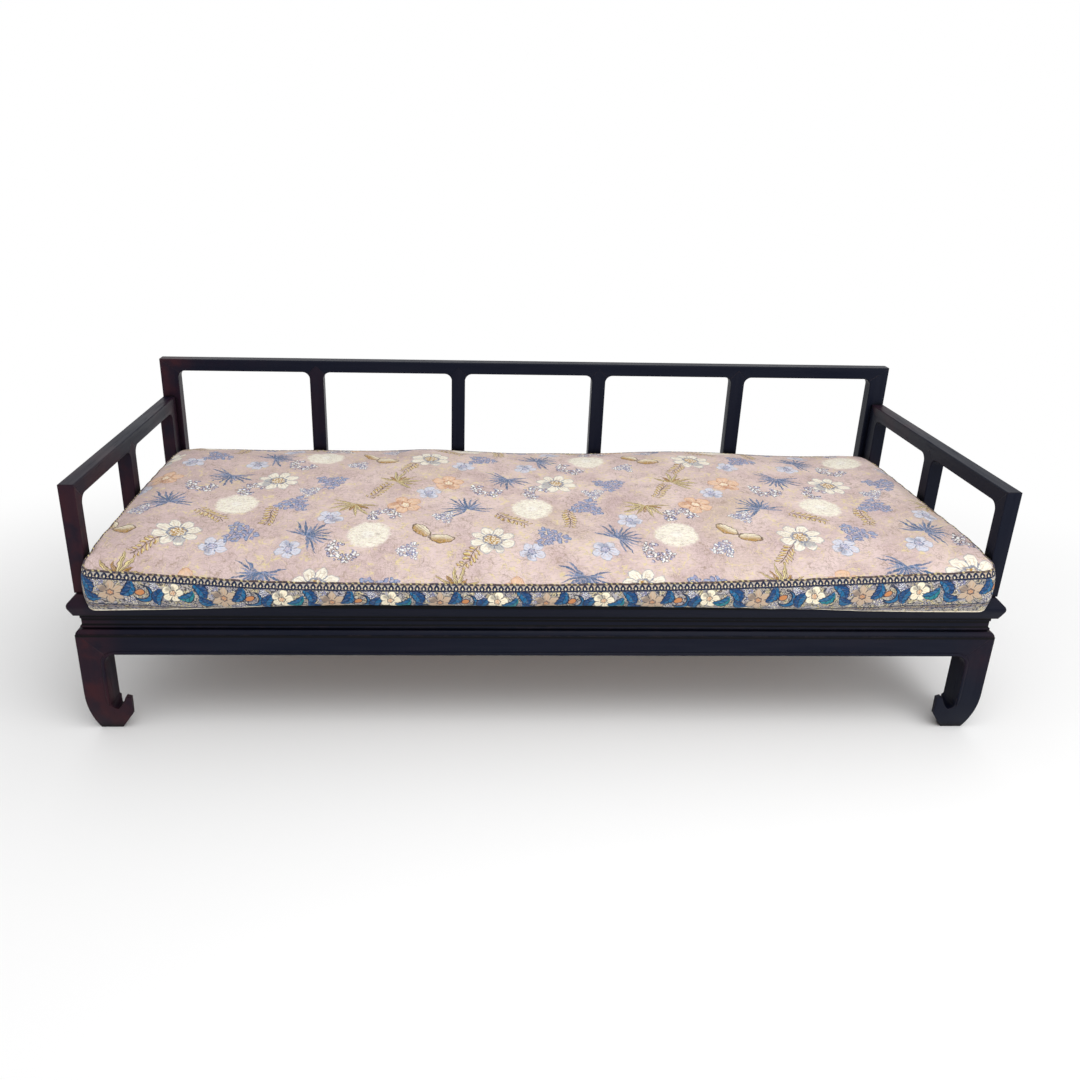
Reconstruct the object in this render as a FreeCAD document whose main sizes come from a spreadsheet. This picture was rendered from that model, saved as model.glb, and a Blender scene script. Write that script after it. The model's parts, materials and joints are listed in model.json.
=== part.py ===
import FreeCAD, Part
import math
import os
import re
import Sketcher
from FreeCAD import Rotation, Vector

# Luohan daybed: a rosewood frame on four horse-hoof legs, open railings on three sides
# and a loose boxed cushion. Millimetres, +X to the sitter's right, +Y to the back, +Z up.
# The origin is on the floor, under the middle of the seat frame.

# Driving dimensions
SIZES = {
    # the whole daybed
    "length": 2080,
    "depth": 772,
    "seat_height": 350,
    "arm_height": 603,
    "back_height": 710,
    # seat frame: four mitred members with a moulded edge
    "frame_width": 92,
    "frame_thick": 48,
    "edge_bevel": 17,
    "tip_drop": 22,
    "nose_rise": 7.5,
    "nose_upper_inset": 2.5,
    "nose_fall": 7,
    "nose_lower_inset": 1.2,
    "edge_foot_inset": 8.3,
    "arris": 2,
    "frame_tenon_width": 16,
    "frame_tenon_thick": 18,
    "frame_tenon_end": 30,
    "frame_tenon_side": 44,
    "frame_tenon_drop": 14,
    # seat boards and the braces under them
    "board_thick": 16,
    "tongue_thick": 6,
    "tongue_length": 8,
    "tongue_drop": 7,
    "tongue_room": 1,
    "brace_width": 40,
    "brace_height": 32,
    "brace_spread": 1240,
    "brace_tenon_length": 20,
    "brace_tenon_thick": 14,
    "dovetail_neck": 14,
    "dovetail_head": 20,
    "dovetail_height": 5,
    # waist strip with the bead under it
    "waist_inset": 19.3,
    "waist_back": 28,
    "waist_height": 37,
    "waist_fillet_inset": 17.5,
    "waist_fillet_height": 11.5,
    "waist_quirk": 1.5,
    "bead_inset": 16.5,
    "bead_slope": 2.5,
    "bead_face": 4,
    "bead_groove": 3.5,
    "bead_foot_inset": 19,
    "strip_tongue_thick": 4,
    "strip_tongue_length": 4,
    "strip_tongue_inset": 21.5,
    # apron
    "apron_inset": 6,
    "apron_height": 60,
    "shoulder_inset": 12.5,
    "shoulder_foot_inset": 7,
    "shoulder_drop": 9,
    "shoulder_round": 14,
    "shoulder_quirk": 1.5,
    "apron_tenon_length": 20,
    "apron_tenon_thick": 8,
    "apron_tenon_height": 20,
    "apron_tenon_rise": 10,
    "spandrel_round": 25,
    # legs
    "leg_width": 56,
    "foot_curve_height": 105,
    "foot_curve_depth": 19,
    "foot_width": 49,
    "hoof_reach": 103,
    "hoof_belly_height": 48,
    "hoof_belly_reach": 102,
    "hoof_tip_height": 92,
    "hoof_tip_width": 13,
    "hoof_tip_depth": 11.5,
    "hoof_corner": 58,
    "hoof_scoop": 9,
    "notch_height": 60,
    "notch_reach": 71,
    "notch_start": 74,
    "notch_bow": 5,
    "hook_bow": 2,
    "leg_arris": 2.5,
    "leg_tenon_long": 14,
    "leg_tenon_thick": 12,
    "leg_tenon_height": 14,
    "leg_tenon_gap": 2,
    # railings
    "railing_inset": 10.5,
    "railing_thick": 34,
    "back_inset": 25,
    "side_front_inset": 24,
    "corner_round": 20,
    "railing_arris": 2.5,
    "railing_tenon_thick": 11,
    "railing_tenon_height": 25,
    "railing_tenon_width": 14,
    "back_rail_height": 33,
    "back_end_width": 48,
    "back_post_width": 38,
    "back_post_pitch": 398.5,
    "side_rail_height": 36,
    "side_front_width": 32,
    "side_rear_width": 44,
    "side_post_width": 38,
    "bottom_rail_height": 36,
    "key_length": 36,
    "key_thick": 10,
    "key_depth": 12,
    # cushion
    "cushion_clear": 0.3,
    "cushion_gap": 3,
    "cushion_front_inset": 0.5,
    "cushion_back_gap": 5,
    "band_height": 100,
    "front_drop": 26,
    "front_sag": 34,
    "band_bulge": 6,
    "end_crown": 28,
    "crown_rise": 8,
    "end_round": 9,
    "cover_thick": 1.5,
    "core_room": 0.4,
    # one overrun serves every cut that passes the wood
    "overrun": 5,
}

# Counts
BOARDS = 4
BRACES = 4
BACK_POSTS = 4
ROUND_STEPS = 3

# Shares of the sizes that they follow
BACK_KEY_SHARES = (-0.88, -0.29, 0.29, 0.88)
SIDE_KEY_SHARES = (0.15, 0.85)
REAR_KEY_SHARES = (0.3, 0.75)
STATION_SHARES = (0, 0.2, 0.4, 0.6, 0.8, 0.92)

# Distance within which two places count as one, and the least volume that counts as met
TOLERANCE = 1e-3
LEAST_VOLUME = 1

doc = FreeCAD.newDocument("luohan_daybed")
sheet = doc.addObject("Spreadsheet::Sheet", "Sizes")
for row, (alias, size) in enumerate(SIZES.items(), start=1):
    sheet.set(f"A{row}", alias)
    sheet.set(f"B{row}", str(size))
    sheet.setAlias(f"B{row}", alias)
doc.recompute()

WORD = re.compile(r"[a-z]\w*")
bodies = {}


def bound(text):
    """Sum of sizes, in plain words, as an expression on the sheet."""
    return WORD.sub(lambda word: "Sizes." + word[0] if word[0] in SIZES else word[0], str(text))


def amount(text):
    """Present value of a sum of sizes."""
    return float(sheet.evalExpression(bound(text)))


def new_body(name, turn=0, across="0", along="0"):
    """Body with its place bound to the sizes, turned about +Z."""
    body = doc.addObject("PartDesign::Body", name)
    body.Label = name
    body.Placement.Rotation = Rotation(Vector(0, 0, 1), turn)
    body.setExpression("Placement.Base.x", bound(across))
    body.setExpression("Placement.Base.y", bound(along))
    bodies[name] = body
    return body


# Sketches
def arc_between(start, end, radius, turning):
    """Short arc from start to end, turning "ccw" or "cw"."""
    chord = end - start
    middle = (start + end) / 2
    left = Vector(-chord.y, chord.x, 0).normalize()
    reach = math.sqrt(max(radius ** 2 - (chord.Length / 2) ** 2, 0))
    centre = middle + left * (reach if turning == "ccw" else -reach)
    first, last = (start, end) if turning == "ccw" else (end, start)
    angles = [math.atan2(point.y - centre.y, point.x - centre.x) for point in (first, last)]
    return Part.ArcOfCircle(Part.Circle(centre, Vector(0, 0, 1), radius), *angles)


def draw_outline(sketch, corners):
    """Closed outline of lines and arcs, with every corner held by its sizes.

    A corner is (across, up), or (across, up, radius, turning) where an arc starts.
    """
    points = [Vector(amount(corner[0]), amount(corner[1]), 0) for corner in corners]
    ends = []
    for place, corner in enumerate(corners):
        start, end = points[place], points[(place + 1) % len(points)]
        if len(corner) == 2:
            edge = sketch.addGeometry(Part.LineSegment(start, end))
            ends.append((1, 2))
        else:
            radius, turning = corner[2:]
            edge = sketch.addGeometry(arc_between(start, end, amount(radius), turning))
            ends.append((1, 2) if turning == "ccw" else (2, 1))
            rule = sketch.addConstraint(Sketcher.Constraint("Radius", edge, amount(radius)))
            sketch.setExpression(f"Constraints[{rule}]", bound(radius))
    for place, corner in enumerate(corners):
        before = (place - 1) % len(corners)
        here = ends[place][0]
        joined = Sketcher.Constraint("Coincident", before, ends[before][1], place, here)
        sketch.addConstraint(joined)
        for kind, text, size in (("DistanceX", corner[0], points[place].x),
                                 ("DistanceY", corner[1], points[place].y)):
            rule = sketch.addConstraint(Sketcher.Constraint(kind, -1, 1, place, here, size))
            sketch.setExpression(f"Constraints[{rule}]", bound(text))


def new_sketch(body, plane, offset, corners):
    """Sketch on one of the body's own planes, moved along its normal."""
    sketch = body.newObject("Sketcher::SketchObject", body.Name + "_outline")
    face = [item for item in body.Origin.OriginFeatures if item.Role == plane][0]
    sketch.AttachmentSupport = [(face, "")]
    sketch.MapMode = "FlatFace"
    sketch.setExpression("AttachmentOffset.Base.z", bound(offset))
    draw_outline(sketch, corners)
    return sketch


def pad(body, plane, corners, low, high):
    """Solid from low to high along the plane's axis. XZ_Plane looks along -Y."""
    start = f"-({high})" if plane == "XZ_Plane" else low
    feature = body.newObject("PartDesign::Pad", body.Name + "_pad")
    feature.Profile = new_sketch(body, plane, start, corners)
    feature.setExpression("Length", bound(f"({high}) - ({low})"))
    body.Tip = feature
    return feature


def pocket(body, plane, corners, low, high):
    """Cut from low to high along the plane's axis. XZ_Plane looks along -Y."""
    start = f"-({low})" if plane == "XZ_Plane" else high
    feature = body.newObject("PartDesign::Pocket", body.Name + "_pocket")
    feature.Profile = new_sketch(body, plane, start, corners)
    feature.setExpression("Length", bound(f"({high}) - ({low})"))
    body.Tip = feature
    return feature


def block(body, kind, box):
    """Tenon ("Additive") or mortise ("Subtractive") as a box of (low, high) pairs."""
    feature = body.newObject(f"PartDesign::{kind}Box", body.Name + "_" + kind.lower())
    for side, axis, (low, high) in zip(("Length", "Width", "Height"), "xyz", box):
        feature.setExpression(side, bound(f"({high}) - ({low})"))
        feature.setExpression(f"Placement.Base.{axis}", bound(low))
    body.Tip = feature
    return feature


def tenon(body, box):
    return block(body, "Additive", box)


def mortise(body, box):
    return block(body, "Subtractive", box)


def ease(body, radius, wanted):
    """Round the edges of the body that the test wants."""
    doc.recompute()
    edges = body.Tip.Shape.Edges
    names = [f"Edge{place}" for place, edge in enumerate(edges, start=1) if wanted(edge)]
    base = body.Tip
    feature = body.newObject("PartDesign::Fillet", body.Name + "_ease")
    feature.Base = (base, names)
    feature.setExpression("Radius", bound(radius))
    body.Tip = feature
    return feature


def mirrored(corners, about="0"):
    """The outline seen in a mirror that stands at half of about."""
    count = len(corners)
    return [(f"{about} - ({corners[place][0]})", corners[place][1], *corners[place - 1][2:])
            for place in reversed(range(count))]


def bow_radius(rise, width, height):
    """Radius of an arc that stands off its chord by rise."""
    return f"(({width})^2 + ({height})^2) / (8 * ({rise})) + ({rise}) / 2"


# Shared places
HALF_LENGTH = "length / 2"
HALF_DEPTH = "depth / 2"
FRAME_UNDER = "seat_height - frame_thick"
APRON_TOP = "seat_height - frame_thick - waist_height"
APRON_UNDER = "seat_height - frame_thick - waist_height - apron_height"
BOARD_UNDER = "seat_height - board_thick"
TONGUE_TOP = "seat_height - tongue_drop"
TONGUE_UNDER = "seat_height - tongue_drop - tongue_thick"
LEG_INNER = "apron_inset + leg_width"
SPLIT = "corner_round * (1 - sqrt(2) / 2)"
SPANDREL_SPLIT = "spandrel_round * (1 - sqrt(2) / 2)"
HALF_RAILING = "length / 2 - railing_inset"
BACK_FRONT = "depth / 2 - back_inset - railing_thick"
BACK_REAR = "depth / 2 - back_inset"
SIDE_FRONT = "side_front_inset - depth / 2"


# Seat frame
def frame_edge(front):
    """Section of a frame member, moulded edge first: (distance in from the tip, height)."""
    tip = "seat_height - tip_drop"
    groove_end = "strip_tongue_inset + strip_tongue_thick"
    upper = round_radius("nose_upper_inset", "nose_rise")
    lower = round_radius("nose_lower_inset", "nose_fall")
    across_first = [
        ("edge_bevel", "seat_height"),
        ("nose_upper_inset", f"{tip} + nose_rise", upper, "ccw"),
        ("0", tip, lower, "ccw"),
        ("nose_lower_inset", f"{tip} - nose_fall"),
        ("edge_foot_inset", FRAME_UNDER),
        ("strip_tongue_inset", FRAME_UNDER),
        ("strip_tongue_inset", f"{FRAME_UNDER} + strip_tongue_length"),
        (groove_end, f"{FRAME_UNDER} + strip_tongue_length"),
        (groove_end, FRAME_UNDER),
        ("frame_width", FRAME_UNDER),
        ("frame_width", TONGUE_UNDER),
        ("frame_width - tongue_length - tongue_room", TONGUE_UNDER),
        ("frame_width - tongue_length - tongue_room", TONGUE_TOP),
        ("frame_width", TONGUE_TOP),
        ("frame_width", "seat_height"),
    ]
    return [(f"{front} + {corner[0]}", *corner[1:]) for corner in across_first]


def round_radius(inset, rise):
    """Radius of an arc that leaves the tip upright and is inset at that rise."""
    return f"({inset}^2 + {rise}^2) / (2 * {inset})"


def mitre_ends(body, half, front, width):
    """Saw both ends of a member that runs along X at 45 degrees."""
    for side in (-1, 1):
        beyond = f"{side} * ({half} + overrun)"
        corners = [
            (beyond, f"{front} - overrun"),
            (beyond, f"{front} + {width} + overrun"),
            (f"{side} * ({half} - {width} - overrun)", f"{front} + {width} + overrun"),
        ]
        pocket(body, "XY_Plane", corners, "0", "seat_height + overrun")


def brace_places():
    """Middle of each brace along the seat."""
    return [f"brace_spread * {place / (BRACES - 1) - 1 / 2}" for place in range(BRACES)]


def frame_tenon_box(corner_x, side):
    """Tenon of a long member, standing out of its mitre into the short member."""
    inner = f"{corner_x} - {side} * frame_tenon_end"
    outer = f"{corner_x} - {side} * (frame_tenon_side + frame_tenon_width)"
    low, high = (inner, outer) if side < 0 else (outer, inner)
    front = f"-({HALF_DEPTH}) + frame_tenon_side"
    top = "seat_height - frame_tenon_drop"
    return ((low, high), (front, f"{front} + frame_tenon_width"),
            (f"{top} - frame_tenon_thick", top))


def brace_tenon_box(middle):
    """Tenon of a brace in the front member."""
    inner = f"-({HALF_DEPTH}) + frame_width"
    high = f"{BOARD_UNDER} - (brace_height - brace_tenon_thick) / 2"
    return ((f"{middle} - brace_width / 4", f"{middle} + brace_width / 4"),
            (f"{inner} - brace_tenon_length", inner),
            (f"{high} - brace_tenon_thick", high))


def leg_tenon_boxes():
    """Two tenons on a leg, by distance in from the tips; one goes into each member."""
    far = (f"{LEG_INNER} - leg_tenon_long - leg_tenon_gap", f"{LEG_INNER} - leg_tenon_gap")
    near = ("waist_back + leg_tenon_gap", "waist_back + leg_tenon_gap + leg_tenon_thick")
    height = (FRAME_UNDER, f"{FRAME_UNDER} + leg_tenon_height")
    return (far, near, height), (near, far, height)


def key_box(middle, lane, width_way):
    """Key between a railing and the seat; half of it stands in each."""
    long_way = (f"{middle} - key_length / 2", f"{middle} + key_length / 2")
    thick_way = (f"{lane} - key_thick / 2", f"{lane} + key_thick / 2")
    height = ("seat_height - key_depth", "seat_height + key_depth")
    return (long_way, thick_way, height) if width_way else (thick_way, long_way, height)


def back_keys():
    lane = f"{BACK_REAR} - railing_thick / 2"
    return [key_box(f"({HALF_RAILING}) * {share}", lane, True) for share in BACK_KEY_SHARES]


def side_keys(side):
    lane = f"{side} * ({HALF_RAILING} - railing_thick / 2)"
    run = f"({BACK_FRONT} - ({SIDE_FRONT}))"
    return [key_box(f"{SIDE_FRONT} + {run} * {share}", lane, False)
            for share in SIDE_KEY_SHARES]


def turned_box(box):
    """The same box after a half turn about +Z."""
    return tuple((f"-({high})", f"-({low})") for low, high in box[:2]) + (box[2],)


def long_member(name, turn):
    """Front or rear member, drawn at the front and turned to its place."""
    body = new_body(name, turn)
    pad(body, "YZ_Plane", frame_edge(f"-({HALF_DEPTH})"),
        f"-({HALF_LENGTH})", HALF_LENGTH)
    round_top_edge(body, "y")
    mitre_ends(body, HALF_LENGTH, f"-({HALF_DEPTH})", "frame_width")
    for side in (-1, 1):
        tenon(body, frame_tenon_box(f"{side} * {HALF_LENGTH}", side))
    for middle in brace_places():
        mortise(body, brace_tenon_box(middle))
    far, near, height = leg_tenon_boxes()[0]
    row = (f"-({HALF_DEPTH}) + {near[0]}", f"-({HALF_DEPTH}) + {near[1]}")
    mortise(body, ((f"-({HALF_LENGTH}) + {far[0]}", f"-({HALF_LENGTH}) + {far[1]}"), row, height))
    mortise(body, ((f"{HALF_LENGTH} - ({far[1]})", f"{HALF_LENGTH} - ({far[0]})"), row, height))
    if turn:
        for box in back_keys():
            mortise(body, turned_box(box))
    return body


def short_member(name, side):
    """Left or right member, drawn along Y at its own place."""
    body = new_body(name)
    edge = frame_edge(f"-({HALF_LENGTH})")
    corners = edge if side < 0 else mirrored(edge)
    pad(body, "XZ_Plane", corners, f"-({HALF_DEPTH})", HALF_DEPTH)
    round_top_edge(body, "x")
    cross_mitre(body, side, HALF_LENGTH, HALF_DEPTH, "frame_width")
    for end in (-1, 1):
        box = frame_tenon_box(f"{side} * {HALF_LENGTH}", side)
        mortise(body, box if end < 0 else (box[0], turned_box(box)[1], box[2]))
        near, far, height = leg_tenon_boxes()[1]
        lane = sided(side, HALF_LENGTH, near)
        run = sided(end, HALF_DEPTH, far)
        mortise(body, (lane, run, height))
    for box in side_keys(side):
        mortise(body, box)
    return body


def sided(side, half, span):
    """A span measured in from the tip on one side, as a low and a high place."""
    if side < 0:
        return f"-({half}) + {span[0]}", f"-({half}) + {span[1]}"
    return f"{half} - ({span[1]})", f"{half} - ({span[0]})"


def cross_mitre(body, side, half_x, half_y, width):
    """Saw both ends of a member that runs along Y at 45 degrees."""
    inner = f"{side} * ({half_x} - {width} - overrun)"
    for end in (-1, 1):
        beyond = f"{end} * ({half_y} + overrun)"
        corners = [
            (f"{side} * ({half_x} + overrun)", beyond),
            (inner, beyond),
            (inner, f"{end} * ({half_y} - {width} - overrun)"),
        ]
        pocket(body, "XY_Plane", corners, "0", "seat_height + overrun")


def round_top_edge(body, axis):
    """Take the sharpness off the upper outer arris of a frame member."""
    top = amount("seat_height")
    half = amount(HALF_DEPTH if axis == "y" else HALF_LENGTH) - amount("edge_bevel")

    def outer_arris(edge):
        box = edge.BoundBox
        low, high = (box.YMin, box.YMax) if axis == "y" else (box.XMin, box.XMax)
        place = max(abs(low), abs(high))
        return box.ZMin > top - TOLERANCE and high - low < TOLERANCE and abs(place - half) < TOLERANCE

    ease(body, "arris", outer_arris)


def seat_frame():
    long_member("seat_front_member", 0)
    long_member("seat_rear_member", 180)
    short_member("seat_left_member", -1)
    short_member("seat_right_member", 1)


# Seat boards and braces
def dovetail(middle):
    """Section of the ridge on a brace, which slides in the boards."""
    return [
        (f"{middle} - dovetail_neck / 2", BOARD_UNDER),
        (f"{middle} + dovetail_neck / 2", BOARD_UNDER),
        (f"{middle} + dovetail_head / 2", f"{BOARD_UNDER} + dovetail_height"),
        (f"{middle} - dovetail_head / 2", f"{BOARD_UNDER} + dovetail_height"),
    ]


def seat_boards():
    half_x = f"({HALF_LENGTH} - frame_width)"
    half_y = f"({HALF_DEPTH} - frame_width)"
    height = (BOARD_UNDER, "seat_height")
    tongue = (TONGUE_UNDER, TONGUE_TOP)
    for place in range(BOARDS):
        body = new_body(f"seat_board_{place + 1}")
        front = f"{half_y} * {2 * place / BOARDS - 1}"
        rear = f"{half_y} * {2 * (place + 1) / BOARDS - 1}"
        tenon(body, ((f"-{half_x}", half_x), (front, rear), height))
        tenon(body, ((f"-{half_x} - tongue_length", f"{half_x} + tongue_length"),
                     (front, rear), tongue))
        tenon(body, ((f"-{half_x}", half_x), (rear, f"{rear} + tongue_length"), tongue))
        if place == 0:
            tenon(body, ((f"-{half_x}", half_x), (f"{front} - tongue_length", front), tongue))
        else:
            mortise(body, ((f"-{half_x} - tongue_length", f"{half_x} + tongue_length"),
                           (front, f"{front} + tongue_length + tongue_room"), tongue))
        for middle in brace_places():
            pocket(body, "XZ_Plane", dovetail(middle), f"-{half_y}", half_y)


def braces():
    half_y = f"({HALF_DEPTH} - frame_width)"
    for place, middle in enumerate(brace_places(), start=1):
        body = new_body(f"seat_brace_{place}")
        tenon(body, ((f"{middle} - brace_width / 2", f"{middle} + brace_width / 2"),
                     (f"-{half_y}", half_y),
                     (f"{BOARD_UNDER} - brace_height", BOARD_UNDER)))
        pad(body, "XZ_Plane", dovetail(middle), f"-{half_y}", half_y)
        front = brace_tenon_box(middle)
        tenon(body, front)
        tenon(body, (front[0], turned_box(front)[1], front[2]))


# Waist and aprons
def waist_section(front):
    """Waist strip over its bead, by distance in from the tip."""
    under = FRAME_UNDER
    fillet_foot = f"{FRAME_UNDER} - waist_fillet_height"
    bead_top = f"{APRON_TOP} + bead_groove + bead_face"
    tongue_end = "strip_tongue_inset + strip_tongue_thick"
    corners = [
        ("waist_fillet_inset", under),
        ("waist_fillet_inset", fillet_foot),
        ("waist_inset + waist_quirk / 2", f"{fillet_foot} - waist_quirk / 2"),
        ("waist_inset", f"{fillet_foot} - waist_quirk"),
        ("waist_inset", f"{bead_top} + bead_slope"),
        ("bead_inset", bead_top),
        ("bead_inset", f"{APRON_TOP} + bead_groove"),
        ("bead_foot_inset", f"{APRON_TOP} + bead_groove"),
        ("bead_foot_inset", APRON_TOP),
        ("strip_tongue_inset", APRON_TOP),
        ("strip_tongue_inset", f"{APRON_TOP} - strip_tongue_length"),
        (tongue_end, f"{APRON_TOP} - strip_tongue_length"),
        (tongue_end, APRON_TOP),
        ("waist_back", APRON_TOP),
        ("waist_back", under),
        (tongue_end, under),
        (tongue_end, f"{under} + strip_tongue_length"),
        ("strip_tongue_inset", f"{under} + strip_tongue_length"),
        ("strip_tongue_inset", under),
    ]
    return [(f"{front} + {across}", up) for across, up in corners]


def apron_section(front):
    """Apron with its rounded shoulder, by distance in from the tip."""
    tongue_end = "strip_tongue_inset + strip_tongue_thick"
    shoulder_foot = f"{APRON_TOP} - shoulder_drop"
    corners = [
        ("shoulder_inset", APRON_TOP, "shoulder_round", "ccw"),
        ("shoulder_foot_inset", shoulder_foot),
        ("shoulder_foot_inset + shoulder_quirk", f"{shoulder_foot} - shoulder_quirk / 2"),
        ("apron_inset", f"{shoulder_foot} - shoulder_quirk"),
        ("apron_inset", f"{APRON_UNDER} - spandrel_round"),
        ("waist_back", f"{APRON_UNDER} - spandrel_round"),
        ("waist_back", APRON_TOP),
        (tongue_end, APRON_TOP),
        (tongue_end, f"{APRON_TOP} - strip_tongue_length"),
        ("strip_tongue_inset", f"{APRON_TOP} - strip_tongue_length"),
        ("strip_tongue_inset", APRON_TOP),
    ]
    return [(f"{front} + {corner[0]}", *corner[1:]) for corner in corners]


def apron_underside(half):
    """What is sawn from under an apron: its mitres, its round corners and its bottom."""
    low = f"{APRON_UNDER} - spandrel_round - overrun"
    inner = f"{half} - ({LEG_INNER})"
    rise = f"{LEG_INNER} + overrun"
    split = SPANDREL_SPLIT
    return [
        (f"-({half}) - overrun", low),
        (f"{half} + overrun", low),
        (f"{inner} + {rise}", f"{APRON_UNDER} + {rise}"),
        (f"{inner} - {split}", f"{APRON_UNDER} - {split}", "spandrel_round", "ccw"),
        (f"{inner} - spandrel_round", APRON_UNDER),
        (f"-({inner}) + spandrel_round", APRON_UNDER, "spandrel_round", "ccw"),
        (f"-({inner}) + {split}", f"{APRON_UNDER} - {split}"),
        (f"-({inner}) - ({rise})", f"{APRON_UNDER} + {rise}"),
    ]


def apron_tenon_boxes():
    """Tenon of an apron in a leg, by distance in from the tips: along and across the apron."""
    end = f"{LEG_INNER} - apron_tenon_rise"
    along = (f"{end} - apron_tenon_length", end)
    across = ("waist_back - apron_tenon_thick - apron_inset", "waist_back - apron_inset")
    low = f"{APRON_UNDER} + apron_tenon_rise"
    return along, across, (low, f"{low} + apron_tenon_height")


def long_strip(name, turn, section, thick):
    body = new_body(name, turn)
    pad(body, "YZ_Plane", section(f"-({HALF_DEPTH})"), f"-({HALF_LENGTH})", HALF_LENGTH)
    mitre_ends(body, HALF_LENGTH, f"-({HALF_DEPTH})", thick)
    return body


def short_strip(name, turn, section, thick):
    """Strip along Y, drawn on the left and turned to its place."""
    body = new_body(name, turn)
    pad(body, "XZ_Plane", section(f"-({HALF_LENGTH})"), f"-({HALF_DEPTH})", HALF_DEPTH)
    cross_mitre(body, -1, HALF_LENGTH, HALF_DEPTH, thick)
    return body


def waist_strips():
    long_strip("waist_front", 0, waist_section, "waist_back")
    long_strip("waist_rear", 180, waist_section, "waist_back")
    short_strip("waist_left", 0, waist_section, "waist_back")
    short_strip("waist_right", 180, waist_section, "waist_back")


def aprons():
    along, across, height = apron_tenon_boxes()
    for name, turn in (("apron_front", 0), ("apron_rear", 180)):
        body = long_strip(name, turn, apron_section, "waist_back")
        pocket(body, "XZ_Plane", apron_underside(HALF_LENGTH),
               f"-({HALF_DEPTH}) - overrun", f"-({HALF_DEPTH}) + waist_back + overrun")
        row = sided(-1, HALF_DEPTH, across)
        for side in (-1, 1):
            tenon(body, (sided(side, HALF_LENGTH, along), row, height))
    for name, turn in (("apron_left", 0), ("apron_right", 180)):
        body = short_strip(name, turn, apron_section, "waist_back")
        pocket(body, "YZ_Plane", apron_underside(HALF_DEPTH),
               f"-({HALF_LENGTH}) - overrun", f"-({HALF_LENGTH}) + waist_back + overrun")
        row = sided(-1, HALF_LENGTH, across)
        for side in (-1, 1):
            tenon(body, (row, sided(side, HALF_DEPTH, along), height))


# Legs, drawn with the corner of the tips at their own origin
FOOT_CURVE = "(foot_curve_depth^2 + foot_curve_height^2) / (2 * foot_curve_depth)"


def leg_outer_line():
    """Outer face of a leg from the foot to the apron's top: (inward, height)."""
    shoulder_foot = f"{APRON_TOP} - shoulder_drop"
    return [
        ("shoulder_inset", APRON_TOP, "shoulder_round", "ccw"),
        ("shoulder_foot_inset", shoulder_foot),
        ("shoulder_foot_inset + shoulder_quirk", f"{shoulder_foot} - shoulder_quirk / 2"),
        ("apron_inset", f"{shoulder_foot} - shoulder_quirk"),
        ("apron_inset", "foot_curve_height", FOOT_CURVE, "ccw"),
        ("apron_inset + foot_curve_depth", "0"),
    ]


def leg_inner_line():
    """Inner side of a leg: foot, belly, hooked tip and notch."""
    tip = "apron_inset + hoof_reach"
    notch_arc = bow_radius("notch_bow", "notch_reach - leg_width", "notch_start - notch_height")
    hook_arc = bow_radius("hook_bow", "hoof_reach - hoof_tip_width - notch_reach",
                          "hoof_tip_height - notch_height")
    return [
        ("apron_inset + foot_curve_depth + foot_width", "0"),
        ("apron_inset + hoof_belly_reach", "hoof_belly_height"),
        (tip, "hoof_tip_height"),
        (f"{tip} - hoof_tip_width", "hoof_tip_height", hook_arc, "cw"),
        ("apron_inset + notch_reach", "notch_height", notch_arc, "cw"),
        (LEG_INNER, "notch_start"),
    ]


def spandrel_corners():
    """The leg's half of the round corner under an apron."""
    return [
        (LEG_INNER, f"{APRON_UNDER} - spandrel_round", "spandrel_round", "cw"),
        (f"{LEG_INNER} + {SPANDREL_SPLIT}", f"{APRON_UNDER} - {SPANDREL_SPLIT}"),
        (LEG_INNER, APRON_UNDER),
    ]


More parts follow.
